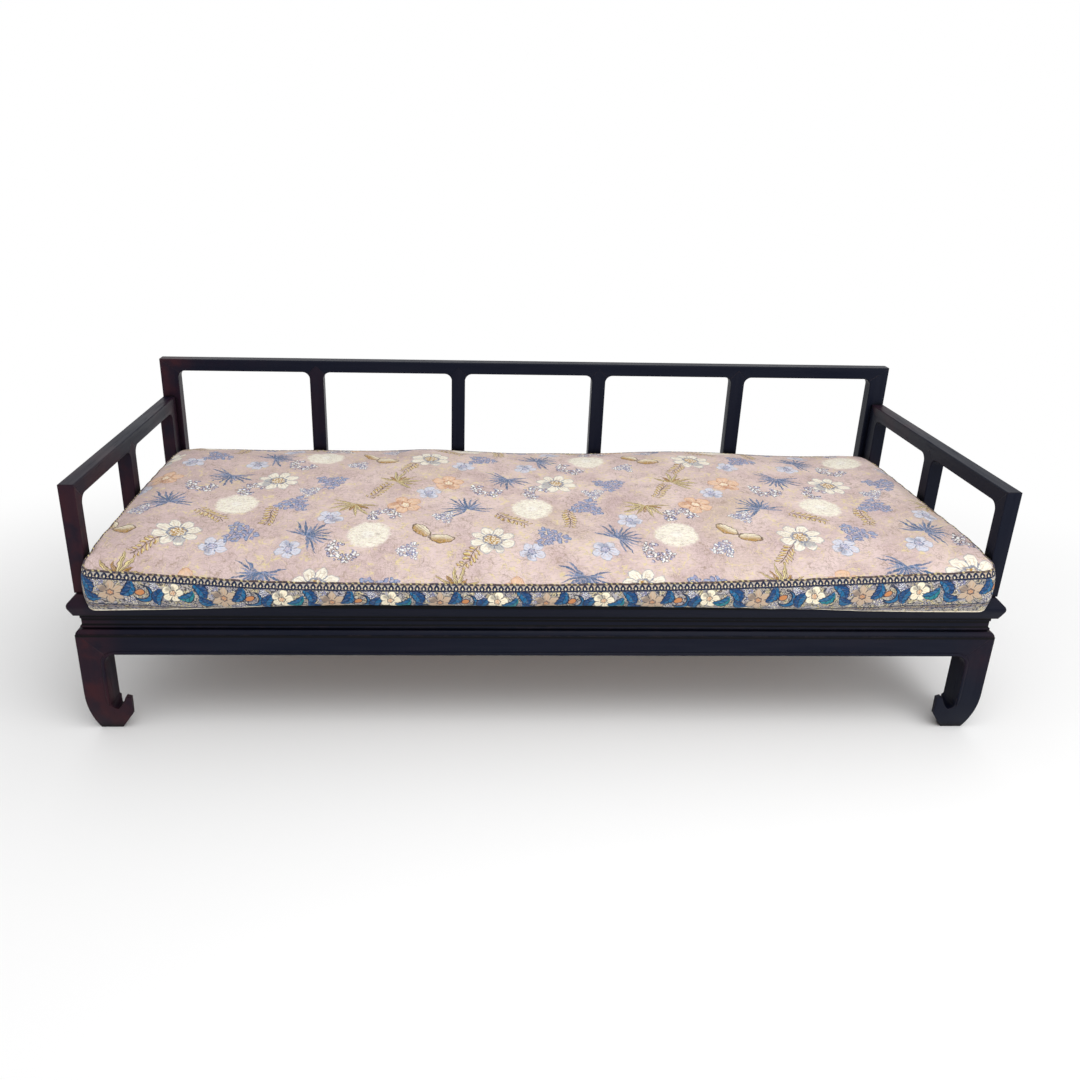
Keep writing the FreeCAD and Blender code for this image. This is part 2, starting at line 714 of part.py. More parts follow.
def leg(name, turn, across, along):
    body = new_body(name, turn, across, along)
    reach = "apron_inset + hoof_reach"
    outer, inner = leg_outer_line(), leg_inner_line()
    # the front profile is sawn first
    pad(body, "XZ_Plane", outer + inner + [(LEG_INNER, APRON_TOP)], "0", reach)
    # the same profile is sawn from the side
    above, beyond = f"{APRON_TOP} + overrun", f"{reach} + overrun"
    waste_outside = outer + [("apron_inset + foot_curve_depth", "-overrun"),
                             ("-overrun", "-overrun"), ("-overrun", above),
                             ("shoulder_inset", above)]
    waste_inside = [("apron_inset + foot_curve_depth + foot_width", "-overrun")] + inner + [
        (LEG_INNER, above), (beyond, above), (beyond, "-overrun")]
    for waste in (waste_outside, waste_inside):
        pocket(body, "YZ_Plane", waste, "-overrun", beyond)
    # the inner corner of the hoof is scooped out on both sides
    tip, corner = "apron_inset + hoof_tip_depth", "apron_inset + hoof_corner"
    scoop = bow_radius("hoof_scoop", "hoof_reach - hoof_corner", "hoof_corner - hoof_tip_depth")
    pocket(body, "XY_Plane", [(reach, tip, scoop, "cw"), (corner, corner, scoop, "cw"),
                              (tip, reach), (tip, beyond), (beyond, beyond), (beyond, tip)],
           "0", "hoof_tip_height + leg_arris")
    ease(body, "leg_arris", leg_arrises)
    # round corners under the aprons
    pad(body, "XZ_Plane", spandrel_corners(), "apron_inset", "waist_back")
    pad(body, "YZ_Plane", spandrel_corners(), "apron_inset", "waist_back")
    # room for the mitred ends of both aprons
    room = [(f"{LEG_INNER} + {SPANDREL_SPLIT}", f"{APRON_UNDER} - {SPANDREL_SPLIT}"),
            (f"{LEG_INNER} + {SPANDREL_SPLIT} + overrun", above),
            (f"{LEG_INNER} - apron_height - overrun", above)]
    for plane in ("XZ_Plane", "YZ_Plane"):
        pocket(body, plane, room, "0", "waist_back")
    along_apron, across_apron, height = apron_tenon_boxes()
    mortise(body, (along_apron, across_apron, height))
    mortise(body, (across_apron, along_apron, height))
    # the neck behind the waist and its tenons
    neck = ("waist_back", LEG_INNER)
    tenon(body, (neck, neck, (APRON_TOP, FRAME_UNDER)))
    for box in leg_tenon_boxes():
        tenon(body, box)
    return body


def leg_arrises(edge):
    """Upright arrises on the inner side of the leg, between notch and apron."""
    box = edge.BoundBox
    inner, low = amount(LEG_INNER), amount("notch_start")
    upright = box.XMax - box.XMin < TOLERANCE and box.YMax - box.YMin < TOLERANCE
    return upright and box.ZMin > low - TOLERANCE and min(box.XMin, box.YMin) > inner - TOLERANCE


def legs():
    leg("leg_front_left", 0, f"-({HALF_LENGTH})", f"-({HALF_DEPTH})")
    leg("leg_front_right", 90, HALF_LENGTH, f"-({HALF_DEPTH})")
    leg("leg_rear_right", 180, HALF_LENGTH, HALF_DEPTH)
    leg("leg_rear_left", 270, f"-({HALF_LENGTH})", HALF_DEPTH)


# Railings
def end_post_outline(start, width, foot, under, top):
    """Post with a mitred top and its half of the round corner, at the low end."""
    return [
        (start, foot),
        (f"{start} + {width}", foot),
        (f"{start} + {width}", f"{under} - corner_round", "corner_round", "cw"),
        (f"{start} + {width} + {SPLIT}", f"{under} - {SPLIT}"),
        (start, top),
    ]


def middle_post_outline(middle, width, foot, under):
    """Post with a pointed top between two round corners."""
    return [
        (f"{middle} - {width} / 2", foot),
        (f"{middle} + {width} / 2", foot),
        (f"{middle} + {width} / 2", f"{under} - corner_round", "corner_round", "cw"),
        (f"{middle} + {width} / 2 + {SPLIT}", f"{under} - {SPLIT}"),
        (middle, f"{under} + {width} / 2"),
        (f"{middle} - {width} / 2 - {SPLIT}", f"{under} - {SPLIT}", "corner_round", "cw"),
        (f"{middle} - {width} / 2", f"{under} - corner_round"),
    ]


def top_rail_outline(start, end, first_post, last_post, under, top, middles, width):
    """Rail with mitred ends, notched for the pointed top of each middle post."""
    corners = [
        (start, top),
        (f"{start} + {first_post} + {SPLIT}", f"{under} - {SPLIT}", "corner_round", "cw"),
        (f"{start} + {first_post} + corner_round", under),
    ]
    for middle in middles:
        corners += [
            (f"{middle} - {width} / 2 - corner_round", under, "corner_round", "cw"),
            (f"{middle} - {width} / 2 - {SPLIT}", f"{under} - {SPLIT}"),
            (middle, f"{under} + {width} / 2"),
            (f"{middle} + {width} / 2 + {SPLIT}", f"{under} - {SPLIT}", "corner_round", "cw"),
            (f"{middle} + {width} / 2 + corner_round", under),
        ]
    return corners + [
        (f"{end} - {last_post} - corner_round", under, "corner_round", "cw"),
        (f"{end} - {last_post} - {SPLIT}", f"{under} - {SPLIT}"),
        (end, top),
    ]


def ease_member(body, across_axis, upright):
    """Round the long arrises of a railing member, on both of its broad faces."""
    def wanted(edge):
        box = edge.BoundBox
        spans = {"x": box.XLength, "y": box.YLength, "z": box.ZLength}
        if spans.pop(across_axis) > TOLERANCE:
            return False
        rise = spans.pop("z")
        run = list(spans.values())[0]
        straight = isinstance(edge.Curve, Part.Line)
        if not straight:
            return True
        return run < TOLERANCE if upright else rise < TOLERANCE

    ease(body, "railing_arris", wanted)


def railing_tenon(middle, foot, lane, along_x):
    """Upright tenon between a post and the rail over or under it."""
    long_way = (f"{middle} - railing_tenon_width / 2", f"{middle} + railing_tenon_width / 2")
    thick_way = (f"{lane} - railing_tenon_thick / 2", f"{lane} + railing_tenon_thick / 2")
    height = (foot, f"{foot} + railing_tenon_height")
    return (long_way, thick_way, height) if along_x else (thick_way, long_way, height)


def level_tenon(start, end, lane, along_x):
    """Level tenon of a bottom rail in a post."""
    thick_way = (f"{lane} - railing_tenon_thick / 2", f"{lane} + railing_tenon_thick / 2")
    height = ("seat_height + key_depth + arris",
              "seat_height + bottom_rail_height - arris")
    return ((start, end), thick_way, height) if along_x else (thick_way, (start, end), height)


def post_tops(middles, under, lane, along_x):
    """Tenons at the top of each middle post."""
    return [railing_tenon(middle, under, lane, along_x) for middle in middles]


def post_feet(middles, lane, along_x):
    """Tenons at the foot of each middle post."""
    foot = "seat_height + bottom_rail_height - railing_tenon_height / 2"
    boxes = []
    for middle in middles:
        box = railing_tenon(middle, foot, lane, along_x)
        height = (foot, "seat_height + bottom_rail_height")
        boxes.append((box[0], box[1], height))
    return boxes


def corner_tenon(start, inward, under, lane, along_x):
    """Tenon of an end post inside the mitred corner of the rail."""
    middle = f"{start} + {inward} * (corner_round + railing_tenon_width / 2)"
    foot = f"{under} - railing_tenon_thick"
    box = railing_tenon(middle, foot, lane, along_x)
    return box[0], box[1], (foot, f"{under} + railing_tenon_thick")


def railing(prefix, plane, lane_span, run, widths, heights, middles, post_width, keys,
            end_names, rear_keys):
    """One railing: bottom rail, end posts, middle posts and mitred top rail."""
    along_x = plane == "XZ_Plane"
    across_axis = "y" if along_x else "x"
    start, end = run
    first, last = widths
    under, top = heights
    lane = f"(({lane_span[0]}) + ({lane_span[1]})) / 2"
    bottom_top = "seat_height + bottom_rail_height"
    tops = post_tops(middles, under, lane, along_x)
    feet = post_feet(middles, lane, along_x)
    corners_in = (corner_tenon(start, 1, under, lane, along_x),
                  corner_tenon(end, -1, under, lane, along_x))
    low_ends = (level_tenon(f"{start} + {first} - railing_tenon_height", f"{start} + {first}",
                            lane, along_x),
                level_tenon(f"{end} - {last}", f"{end} - {last} + railing_tenon_height",
                            lane, along_x))
    posts = []

    body = new_body(prefix + "_top_rail")
    pad(body, plane, top_rail_outline(start, end, first, last, under, top, middles, post_width),
        *lane_span)
    ease_member(body, across_axis, upright=False)
    for box in tops + list(corners_in):
        mortise(body, box)

    outline = end_post_outline(start, first, "seat_height", under, top)
    far_side = end_post_outline(start, last, "seat_height", under, top)
    far_outline = mirrored(far_side, f"({start}) + ({end})")
    for name, corners, corner_box, low_box in ((end_names[0], outline, corners_in[0], low_ends[0]),
                                               (end_names[1], far_outline, corners_in[1],
                                                low_ends[1])):
        body = new_body(name)
        pad(body, plane, corners, *lane_span)
        ease_member(body, across_axis, upright=True)
        tenon(body, corner_box)
        mortise(body, low_box)
        posts.append(body)

    for place, middle in enumerate(middles, start=1):
        number = f"_{place}" if len(middles) > 1 else ""
        body = new_body(f"{prefix}_middle_post{number}")
        pad(body, plane, middle_post_outline(middle, post_width, bottom_top, under), *lane_span)
        ease_member(body, across_axis, upright=True)
        tenon(body, tops[place - 1])
        tenon(body, feet[place - 1])

    body = new_body(prefix + "_bottom_rail")
    low, high = f"{start} + {first}", f"{end} - {last}"
    pad(body, plane, [(low, "seat_height"), (high, "seat_height"), (high, bottom_top),
                      (low, bottom_top)], *lane_span)
    ease_member(body, across_axis, upright=False)
    for box in low_ends:
        tenon(body, box)
    for box in feet:
        mortise(body, box)
    for target in posts + [body]:
        for box in keys:
            cut_where_met(target, box)
        for box in rear_keys:
            cut_where_met(target, box)


def cut_where_met(body, box):
    """Mortise for a key, in the bodies that the key reaches."""
    doc.recompute()
    low = Vector(*[amount(span[0]) for span in box])
    size = [amount(span[1]) - amount(span[0]) for span in box]
    probe = Part.makeBox(*size, low)
    if body.Shape.common(probe).Volume > LEAST_VOLUME:
        mortise(body, box)


def rear_key_boxes(side):
    """Keys that hold a side railing to the back railing."""
    lane = f"{side} * ({HALF_RAILING} - railing_thick / 2)"
    run = "(arm_height - seat_height)"
    boxes = []
    for share in REAR_KEY_SHARES:
        middle = f"seat_height + {run} * {share}"
        boxes.append(((f"{lane} - key_thick / 2", f"{lane} + key_thick / 2"),
                      (f"{BACK_FRONT} - key_depth", f"{BACK_FRONT} + key_depth"),
                      (f"{middle} - key_length / 2", f"{middle} + key_length / 2")))
    return boxes


def back_railing():
    first = f"-{(BACK_POSTS - 1) / 2} * back_post_pitch"
    middles = [f"{first} + {place} * back_post_pitch" for place in range(BACK_POSTS)]
    railing("back", "XZ_Plane", (BACK_FRONT, BACK_REAR), (f"-({HALF_RAILING})", HALF_RAILING),
            ("back_end_width", "back_end_width"),
            ("back_height - back_rail_height", "back_height"), middles, "back_post_width",
            back_keys(), ("back_left_post", "back_right_post"),
            rear_key_boxes(-1) + rear_key_boxes(1))


def side_railing(name, side):
    outer, inner = HALF_RAILING, f"{HALF_RAILING} - railing_thick"
    lane_span = (f"-({outer})", f"-({inner})") if side < 0 else (inner, outer)
    middle = f"({SIDE_FRONT} + side_front_width + {BACK_FRONT} - side_rear_width) / 2"
    railing(name, "YZ_Plane", lane_span, (SIDE_FRONT, BACK_FRONT),
            ("side_front_width", "side_rear_width"),
            ("arm_height - side_rail_height", "arm_height"), [middle], "side_post_width",
            side_keys(side), (name + "_front_post", name + "_rear_post"), rear_key_boxes(side))


def keys():
    """Hardwood keys, one group for the seat and one for the corners of the railings."""
    groups = {"railing_keys": back_keys() + side_keys(-1) + side_keys(1),
              "corner_keys": rear_key_boxes(-1) + rear_key_boxes(1)}
    for name, boxes in groups.items():
        blocks = []
        for place, box in enumerate(boxes, start=1):
            piece = doc.addObject("Part::Box", f"{name}_{place}")
            for side, axis, (low, high) in zip(("Length", "Width", "Height"), "xyz", box):
                piece.setExpression(side, bound(f"({high}) - ({low})"))
                piece.setExpression(f"Placement.Base.{axis}", bound(low))
            blocks.append(piece)
        group = doc.addObject("Part::Compound", name)
        group.Links = blocks
        group.Label = name
        bodies[name] = group


# Cushion
def cushion_section(skin, inset, reach_share):
    """Cross-section of the cushion: flat base, bulging bands and a crowned top.

    reach_share is 0 in the middle of the daybed and 1 at the cushion's ends.
    """
    inside = f"({skin} + {inset})"
    base = f"seat_height + cushion_clear + {inside}"
    rear_seam = f"seat_height + band_height - {inside}"
    front_seam = f"{rear_seam} - front_drop - front_sag * {1 - reach_share}"
    front = f"-({HALF_DEPTH}) + cushion_front_inset + band_bulge + {inside}"
    rear = f"{BACK_FRONT} - cushion_back_gap - band_bulge - {inside}"
    crown = f"(end_crown + crown_rise * {1 - reach_share})"
    front_bow = bow_radius("band_bulge", "0", f"{front_seam} - ({base})")
    rear_bow = bow_radius("band_bulge", "0", f"{rear_seam} - ({base})")
    crown_bow = bow_radius(crown, f"{rear} - ({front})", f"{rear_seam} - ({front_seam})")
    return [
        (front, base),
        (rear, base, rear_bow, "ccw"),
        (rear, rear_seam, crown_bow, "ccw"),
        (front, front_seam, front_bow, "ccw"),
    ]


def cushion_stations(skin):
    """(place along X, inset, reach share) of each section, from left to right."""
    half = f"({HALF_RAILING} - railing_thick - cushion_gap - {skin})"
    stations = []
    for share in STATION_SHARES:
        stations.append((f"{half} * {share}", "0", share ** 2))
    for step in range(ROUND_STEPS + 1):
        turn = math.pi / 2 * step / ROUND_STEPS
        place = f"{half} - end_round * {1 - math.sin(turn)}"
        stations.append((place, f"end_round * {1 - math.cos(turn)}", 1))
    left = [(f"-({place})", inset, share) for place, inset, share in stations[:0:-1]]
    return left + stations


def cushion_loft(body, kind, skin):
    """Loft through the sections of one skin of the cushion."""
    sketches = [new_sketch(body, "YZ_Plane", place, cushion_section(skin, inset, share))
                for place, inset, share in cushion_stations(skin)]
    feature = body.newObject(f"PartDesign::{kind}Loft", body.Name + "_loft")
    feature.Profile = sketches[0]
    feature.Sections = sketches[1:]
    feature.Ruled = True
    body.Tip = feature
    return feature


def cushion():
    cover = new_body("cushion_cover")
    cushion_loft(cover, "Additive", "0")
    cushion_loft(cover, "Subtractive", "cover_thick")
    core = new_body("cushion_core")
    cushion_loft(core, "Additive", "(cover_thick + core_room)")


seat_frame()
seat_boards()
braces()
waist_strips()
aprons()
legs()
back_railing()
side_railing("left", -1)
side_railing("right", 1)
keys()
cushion()
doc.recompute()

# Check every object, then write each sub-part
for item in doc.Objects:
    if "Invalid" in item.State or "Error" in item.State:
        raise RuntimeError(f"{item.Label} did not build: {item.State}")
os.makedirs("parts", exist_ok=True)
for name, body in bodies.items():
    shape = body.Shape
    if shape.isNull() or not shape.isValid():
        raise RuntimeError(f"{name} has no sound shape")
    shape.exportStep(f"parts/{name}.step")
print(len(bodies), "sub-parts")
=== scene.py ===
"""Luohan daybed: the finish of its hardwood frame, its beads and its sewn, flowered cushion."""

import json
import math

import bpy
from mathutils import Matrix, Vector


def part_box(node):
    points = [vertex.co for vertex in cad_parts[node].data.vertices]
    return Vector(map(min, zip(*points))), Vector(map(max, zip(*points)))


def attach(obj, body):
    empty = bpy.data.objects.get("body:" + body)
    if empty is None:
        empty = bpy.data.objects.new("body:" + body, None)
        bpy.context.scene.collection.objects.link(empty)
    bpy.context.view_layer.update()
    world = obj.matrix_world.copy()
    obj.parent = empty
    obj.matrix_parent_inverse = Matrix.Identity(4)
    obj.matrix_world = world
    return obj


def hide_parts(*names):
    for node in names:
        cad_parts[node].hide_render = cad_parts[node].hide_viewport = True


bl_info = {
    "name": "Luohan Daybed",
    "version": (1, 0, 0),
    "blender": (4, 5, 0),
    "location": "View3D > Sidebar > Daybed",
    "description": "Dresses a luohan daybed in hardwood and a sewn cushion, and sets up a studio",
    "category": "Object",
}

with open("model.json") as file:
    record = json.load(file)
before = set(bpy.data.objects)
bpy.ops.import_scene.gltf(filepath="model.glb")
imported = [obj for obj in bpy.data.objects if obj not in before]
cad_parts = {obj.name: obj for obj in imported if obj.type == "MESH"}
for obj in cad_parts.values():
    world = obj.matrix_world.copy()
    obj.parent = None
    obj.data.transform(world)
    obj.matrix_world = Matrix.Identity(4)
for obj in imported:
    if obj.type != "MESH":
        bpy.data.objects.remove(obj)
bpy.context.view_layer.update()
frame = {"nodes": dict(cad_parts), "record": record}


def paint(red, green, blue):
    """Linear colour of a colour written in 8-bit screen values."""
    return tuple(((part / 255 + 0.055) / 1.055) ** 2.4 for part in (red, green, blue))


def colour_property(name, description, colour):
    return bpy.props.FloatVectorProperty(name=name, description=description, subtype="COLOR",
                                         size=3, min=0, max=1, default=colour)


def length_property(name, description, size):
    return bpy.props.FloatProperty(name=name, description=description, subtype="DISTANCE",
                                   unit="LENGTH", default=size)


def share_property(name, description, share):
    return bpy.props.FloatProperty(name=name, description=description, subtype="FACTOR",
                                   min=0, max=1, default=share)


# Settings that a user would change
class DaybedWood(bpy.types.PropertyGroup):
    """Finish of the hardwood frame and of the plain wood inside the seat."""
    dark: colour_property("Dark wood", "Ground colour of the hardwood", paint(9, 14, 30))
    grain: colour_property("Grain", "Lighter streaks of the hardwood", paint(20, 23, 36))
    red: colour_property("Red wood", "Red-brown of worn and sun-lit places", paint(64, 28, 32))
    worn: colour_property("Worn edge", "Colour of the rubbed edges", paint(92, 72, 70))
    # Painted shade: the near-black colour laid in the hollows, along the grooves and under the
    # cushion's front edge
    painted_shade_colour: colour_property("Quirk", "Old polish in the hollows", paint(3, 3, 6))
    plain: colour_property("Inner wood", "Ground of the boards and braces", paint(140, 104, 74))
    plain_grain: colour_property("Inner grain", "Streaks of the boards", paint(104, 72, 48))
    gloss: share_property("Roughness", "Roughness of the rubbed finish", 0.36)
    shine: share_property("Shine", "Strength of the finish's reflection", 0.10)


class DaybedBead(bpy.types.PropertyGroup):
    """Raised bead along the lower edge of the aprons and down the legs."""
    width: length_property("Width", "Width of the bead", 0.0075)
    rise: length_property("Rise", "How far the bead stands proud", 0.0024)
    margin: length_property("Margin", "Middle of the bead from the edge", 0.0045)


class DaybedCushion(bpy.types.PropertyGroup):
    """Sizes of the sewn cushion."""
    cell: length_property("Mesh size", "Size of the cells that the cloth is made of", 0.012)
    half_length: length_property("Half length", "Middle of the cushion to its end seam", 0.986)
    front: length_property("Front seam", "Place of the front seam", -0.391)
    back: length_property("Back seam", "Place of the back seam", 0.317)
    corner: length_property("Corner", "Radius of the corners of the panels", 0.020)
    crown: length_property("Crown", "Height of the top above its seams, before it is filled", 0.012)
    bulge: length_property("Bulge", "How far the band stands out between its seams", 0.0055)
    tuck: length_property("Tuck", "How far the middle of the lower front seam is under", 0.0040)
    ripple: length_property("Ripple", "Height of the soft waves of the top", 0.0026)
    pucker: length_property("Pucker", "Height of the gathers along the upper seam", 0.0014)
    swell: length_property("Swell", "The most that the filling moves a point", 0.012)
    top_welt: length_property("Upper welt", "Radius of the welt in the upper seam", 0.0021)
    low_welt: length_property("Lower welt", "Radius of the welt in the lower seam", 0.0028)


class DaybedCloth(bpy.types.PropertyGroup):
    """Colours of the printed cloth."""
    ground: colour_property("Ground", "Dusty rose of the panels", paint(222, 201, 197))
    shade: colour_property("Shade", "Darker mottling of the panels", paint(196, 172, 172))
    sand: colour_property("Sand", "Tan of the veins and of faded places", paint(192, 172, 150))
    cream: colour_property("Cream", "Petals", paint(243, 234, 208))
    gold: colour_property("Gold", "Hearts of flowers and dry leaves", paint(178, 138, 62))
    rust: colour_property("Rust", "Small blossoms", paint(196, 132, 84))
    blue: colour_property("Blue", "Leaves", paint(58, 96, 134))
    navy: colour_property("Navy", "Outlines", paint(44, 52, 84))
    lilac: colour_property("Lilac", "Clusters", paint(152, 152, 186))
    border: colour_property("Border", "Ground of the band", paint(178, 172, 164))
    border_blue: colour_property("Border blue", "Leaves of the band", paint(28, 100, 146))
    top_welt: colour_property("Upper welt", "Welt in the upper seam", paint(92, 74, 66))
    low_welt: colour_property("Lower welt", "Welt in the lower seam", paint(238, 230, 212))


class DaybedStage(bpy.types.PropertyGroup):
    """Floor, lamps and camera."""
    floor: colour_property("Floor", "Colour of the floor", (0.90, 0.90, 0.90))
    ambient: share_property("Ambient", "Strength of the light from all round", 0.72)
    key: bpy.props.FloatProperty(name="Key lamp", description="Power of the large lamp overhead",
                                 subtype="POWER", unit="POWER", default=60)
    fill: bpy.props.FloatProperty(name="Fill lamp", description="Power of the lamp at the front",
                                  subtype="POWER", unit="POWER", default=20)
    lens: bpy.props.FloatProperty(name="Lens", description="Focal length of the camera",
                                  subtype="DISTANCE_CAMERA", unit="CAMERA", default=29.487)
    place: bpy.props.FloatVectorProperty(name="Camera", description="Place of the camera",
                                         subtype="TRANSLATION", unit="LENGTH", size=3,
                                         default=(-0.1774, -2.1068, 1.2884))


# Nodes of a material, written as sums
class Field:
    """A number or a colour that varies over a surface: one socket of a material's nodes."""

    def __init__(self, tree, socket):
        self.tree = tree
        self.socket = socket

    def math(self, operation, *others):
        return node(self.tree, "ShaderNodeMath", (self, *others), operation=operation)

    def __add__(self, other):
        return self.math("ADD", other)

    def __sub__(self, other):
        return self.math("SUBTRACT", other)

    def __rsub__(self, other):
        return node(self.tree, "ShaderNodeMath", (other, self), operation="SUBTRACT")

    def __mul__(self, other):
        return self.math("MULTIPLY", other)

    def __truediv__(self, other):
        return self.math("DIVIDE", other)

    __radd__ = __add__
    __rmul__ = __mul__

    def size(self):
        return self.math("ABSOLUTE")

    def eased(self, low, high):
        """0 at low and 1 at high, with soft ends. High may be the smaller one."""
        return node(self.tree, "ShaderNodeMapRange", (self, low, high, 0, 1),
                    interpolation_type="SMOOTHSTEP")

    def line(self, middle, width):
        """1 on a soft line where the field is middle, 0 beyond its width."""
        return (self - middle).size().eased(width, width / 2)


def fill(tree, value, socket):
    """Link a field to a socket, or set the socket to a constant."""
    if isinstance(value, Field):
        tree.links.new(value.socket, socket)
    elif socket.type == "RGBA":
        socket.default_value = (*value, 1)
    else:
        socket.default_value = value


def node(tree, kind, values=(), output=0, **choices):
    """New node with its inputs filled, in order or by name."""
    made = tree.nodes.new(kind)
    for name, choice in choices.items():
        setattr(made, name, choice)
    for slot, value in values.items() if isinstance(values, dict) else enumerate(values):
        fill(tree, value, made.inputs[slot])
    return Field(tree, made.outputs[output])


def mixed(share, first, second):
    """Colour between two others."""
    tree = share.tree
    made = tree.nodes.new("ShaderNodeMix")
    made.data_type = "RGBA"
    colours = [socket for socket in made.inputs if socket.type == "RGBA"]
    fill(tree, share, made.inputs[0])
    fill(tree, first, colours[0])
    fill(tree, second, colours[1])
    return Field(tree, next(socket for socket in made.outputs if socket.type == "RGBA"))


def noise(tree, place, scale, detail, roughness, output=0):
    """Soft noise between 0 and 1, or its colour if the output is 1."""
    return node(tree, "ShaderNodeTexNoise",
                {"Vector": place, "Scale": scale, "Detail": detail, "Roughness": roughness},
                output)


def vector_math(first, operation, *others):
    return node(first.tree, "ShaderNodeVectorMath", (first, *others), operation=operation)


def all_parts_of(place):
    """The three coordinates of a place."""
    split = place.tree.nodes.new("ShaderNodeSeparateXYZ")
    fill(place.tree, place, split.inputs[0])
    return [Field(place.tree, socket) for socket in split.outputs]


def parts_of(place):
    """Across and up of a place."""
    return all_parts_of(place)[:2]


def new_material(name):
    material = bpy.data.materials.new(name)
    material.use_nodes = True
    return material, material.node_tree


def finish_surface(tree, colour, roughness, height, depth, normal=None, **constants):
    """Feed the material's own shader; constants are set on its sockets."""
    shader = tree.nodes["Principled BSDF"]
    fill(tree, colour, shader.inputs["Base Color"])
    fill(tree, roughness, shader.inputs["Roughness"])
    for name, value in constants.items():
        shader.inputs[name.replace("_", " ")].default_value = value
    relief = {"Strength": 1.0, "Distance": depth, "Height": height}
    if normal:
        relief["Normal"] = normal
    bump = node(tree, "ShaderNodeBump", relief)
    fill(tree, bump, shader.inputs["Normal"])


# Wood: how its noises are drawn out along the grain
GRAIN_STRETCHES = {"x": (0.07, 1, 1), "y": (1, 0.07, 1), "z": (1, 1, 0.07)}
# Share of red-brown in the long members, the short members and the uprights
REDNESS_SHARES = {"x": 0.09, "y": 0.60, "z": 0.58}
# How much more of it the left side has than the right
RED_TILTS = {"x": 0.10, "y": 0.0, "z": 0.12}
# Painted shade along the shallow grooves round the waist and the aprons: height and width
QUIRK_SHADES = ((0.2985, 0.0075), (0.2868, 0.0032), (0.2748, 0.0026), (0.2518, 0.0034))
# Painted shadow on the seat's nose, under the middle of the cushion's front edge: height and
# width, places across where it starts and is full, and places in depth where it does
NOSE_SHADOW = (0.3303, 0.0050)
NOSE_SHADOW_ENDS = (0.62, 0.46)
NOSE_SHADOW_DEPTHS = (-0.30, -0.36)
# Places across between which the red-brown of all members, and of the long ones, grows
RED_ENDS = (0.60, 0.96)
RED_MITRES = (0.92, 1.0)
RED_MITRE_SHARE = 0.45
# Noises of the wood: scale, detail and roughness
STREAKS = (55.0, 6.0, 0.62)
BANDS = (14.0, 3.0, 0.5)
CAST = (2.3, 2.0, 0.5)
PATCHES = (17.0, 3.0, 0.55)
RUBS = (38.0, 3.0, 0.6)
PORES = (210.0, 2.0, 0.5)
WAVES = (9.0, 1.0, 0.5)
GROWTH = (6.0, 3.0, 0.5)
FIBRES = (160.0, 3.0, 0.6)
DIRT = (3.1, 3.0, 0.55)
RINGS = 26.0
# Radius of the rubbed edges, reach of the painted shade in the hollows, and depths of the grain
RUBBED_RADIUS = 0.0028
SHADE_REACH = 0.024
HARDWOOD_RELIEF = 0.0004
INNER_WOOD_RELIEF = 0.0003
RUBBED_SHARE = 0.30
# Share of the painted shade's colour where it is full
PAINTED_SHADE_SHARE = 0.92


def wood_place(tree, along):
    """Object coordinates, drawn out along the grain."""
    where = tree.nodes.new("ShaderNodeTexCoord")
    place = Field(tree, where.outputs["Object"])
    drawn = node(tree, "ShaderNodeMapping", {"Vector": place, "Scale": GRAIN_STRETCHES[along]})
    return place, drawn


def hardwood(along, settings):
    """Near-black hardwood, rubbed satin, with open pores, a red-brown cast in places and painted
    shade in its hollows.
    """
    material, tree = new_material(f"dark_hardwood_{along}")
    place, drawn = wood_place(tree, along)
    streaks = noise(tree, drawn, *STREAKS).eased(0.36, 0.68)
    bands = noise(tree, drawn, *BANDS).eased(0.38, 0.66)
    colour = mixed(streaks * 0.6 + bands * 0.3, settings.dark, settings.grain)
    cast = noise(tree, place, *CAST)
    across, depth, height = all_parts_of(place)
    outer = 0.2 + 0.8 * across.size().eased(*RED_ENDS)
    reddened = (cast - across * RED_TILTS[along]).eased(0.40, 0.64) * (0.4 + 0.6 * bands) * outer
    patches = noise(tree, place, *PATCHES).eased(0.36, 0.60)
    red_share = REDNESS_SHARES[along]
    if along == "x":
        red_share = red_share + RED_MITRE_SHARE * across.size().eased(*RED_MITRES)
    colour = mixed(reddened * (0.45 + 0.75 * patches) * red_share, colour, settings.red)
    shape = tree.nodes.new("ShaderNodeNewGeometry")
    eased = node(tree, "ShaderNodeBevel", {"Radius": RUBBED_RADIUS}, samples=4)
    facing = node(tree, "ShaderNodeVectorMath", (eased, Field(tree, shape.outputs["Normal"])),
                  operation="DOT_PRODUCT", output="Value")
    rubs = noise(tree, place, *RUBS).eased(0.42, 0.72)
    worn = facing.eased(0.995, 0.86) * rubs
    colour = mixed(worn * RUBBED_SHARE, colour, settings.worn)
    # Painted shade: darker where nearby parts hide the light, in hollows, corners and under the
    # cushion
    painted_shade = node(tree, "ShaderNodeAmbientOcclusion", {"Distance": SHADE_REACH}, output="AO",
                  samples=6)
    painted_shade = painted_shade.eased(0.86, 0.36)
    # Painted shade along the shallow grooves of the waist and the aprons
    for middle, width in QUIRK_SHADES:
        painted_shade = painted_shade.math("MAXIMUM", height.line(middle, width))
    # Painted shadow of the cushion's front edge on the seat's nose
    nose_shadow = height.line(*NOSE_SHADOW) * across.size().eased(*NOSE_SHADOW_ENDS)
    painted_shade = painted_shade.math("MAXIMUM", nose_shadow * depth.eased(*NOSE_SHADOW_DEPTHS))
    # All the painted shade is mixed in here with its near-black colour
    colour = mixed(painted_shade * PAINTED_SHADE_SHARE, colour, settings.painted_shade_colour)
    pores = noise(tree, drawn, *PORES).eased(0.60, 0.74)
    waves = noise(tree, drawn, *WAVES)
    roughness = settings.gloss + 0.12 * streaks + 0.14 * pores - 0.06 * worn
    finish_surface(tree, colour, roughness, waves * 0.5 - pores * 0.35, HARDWOOD_RELIEF, eased,
                   Specular_IOR_Level=settings.shine)
    return material


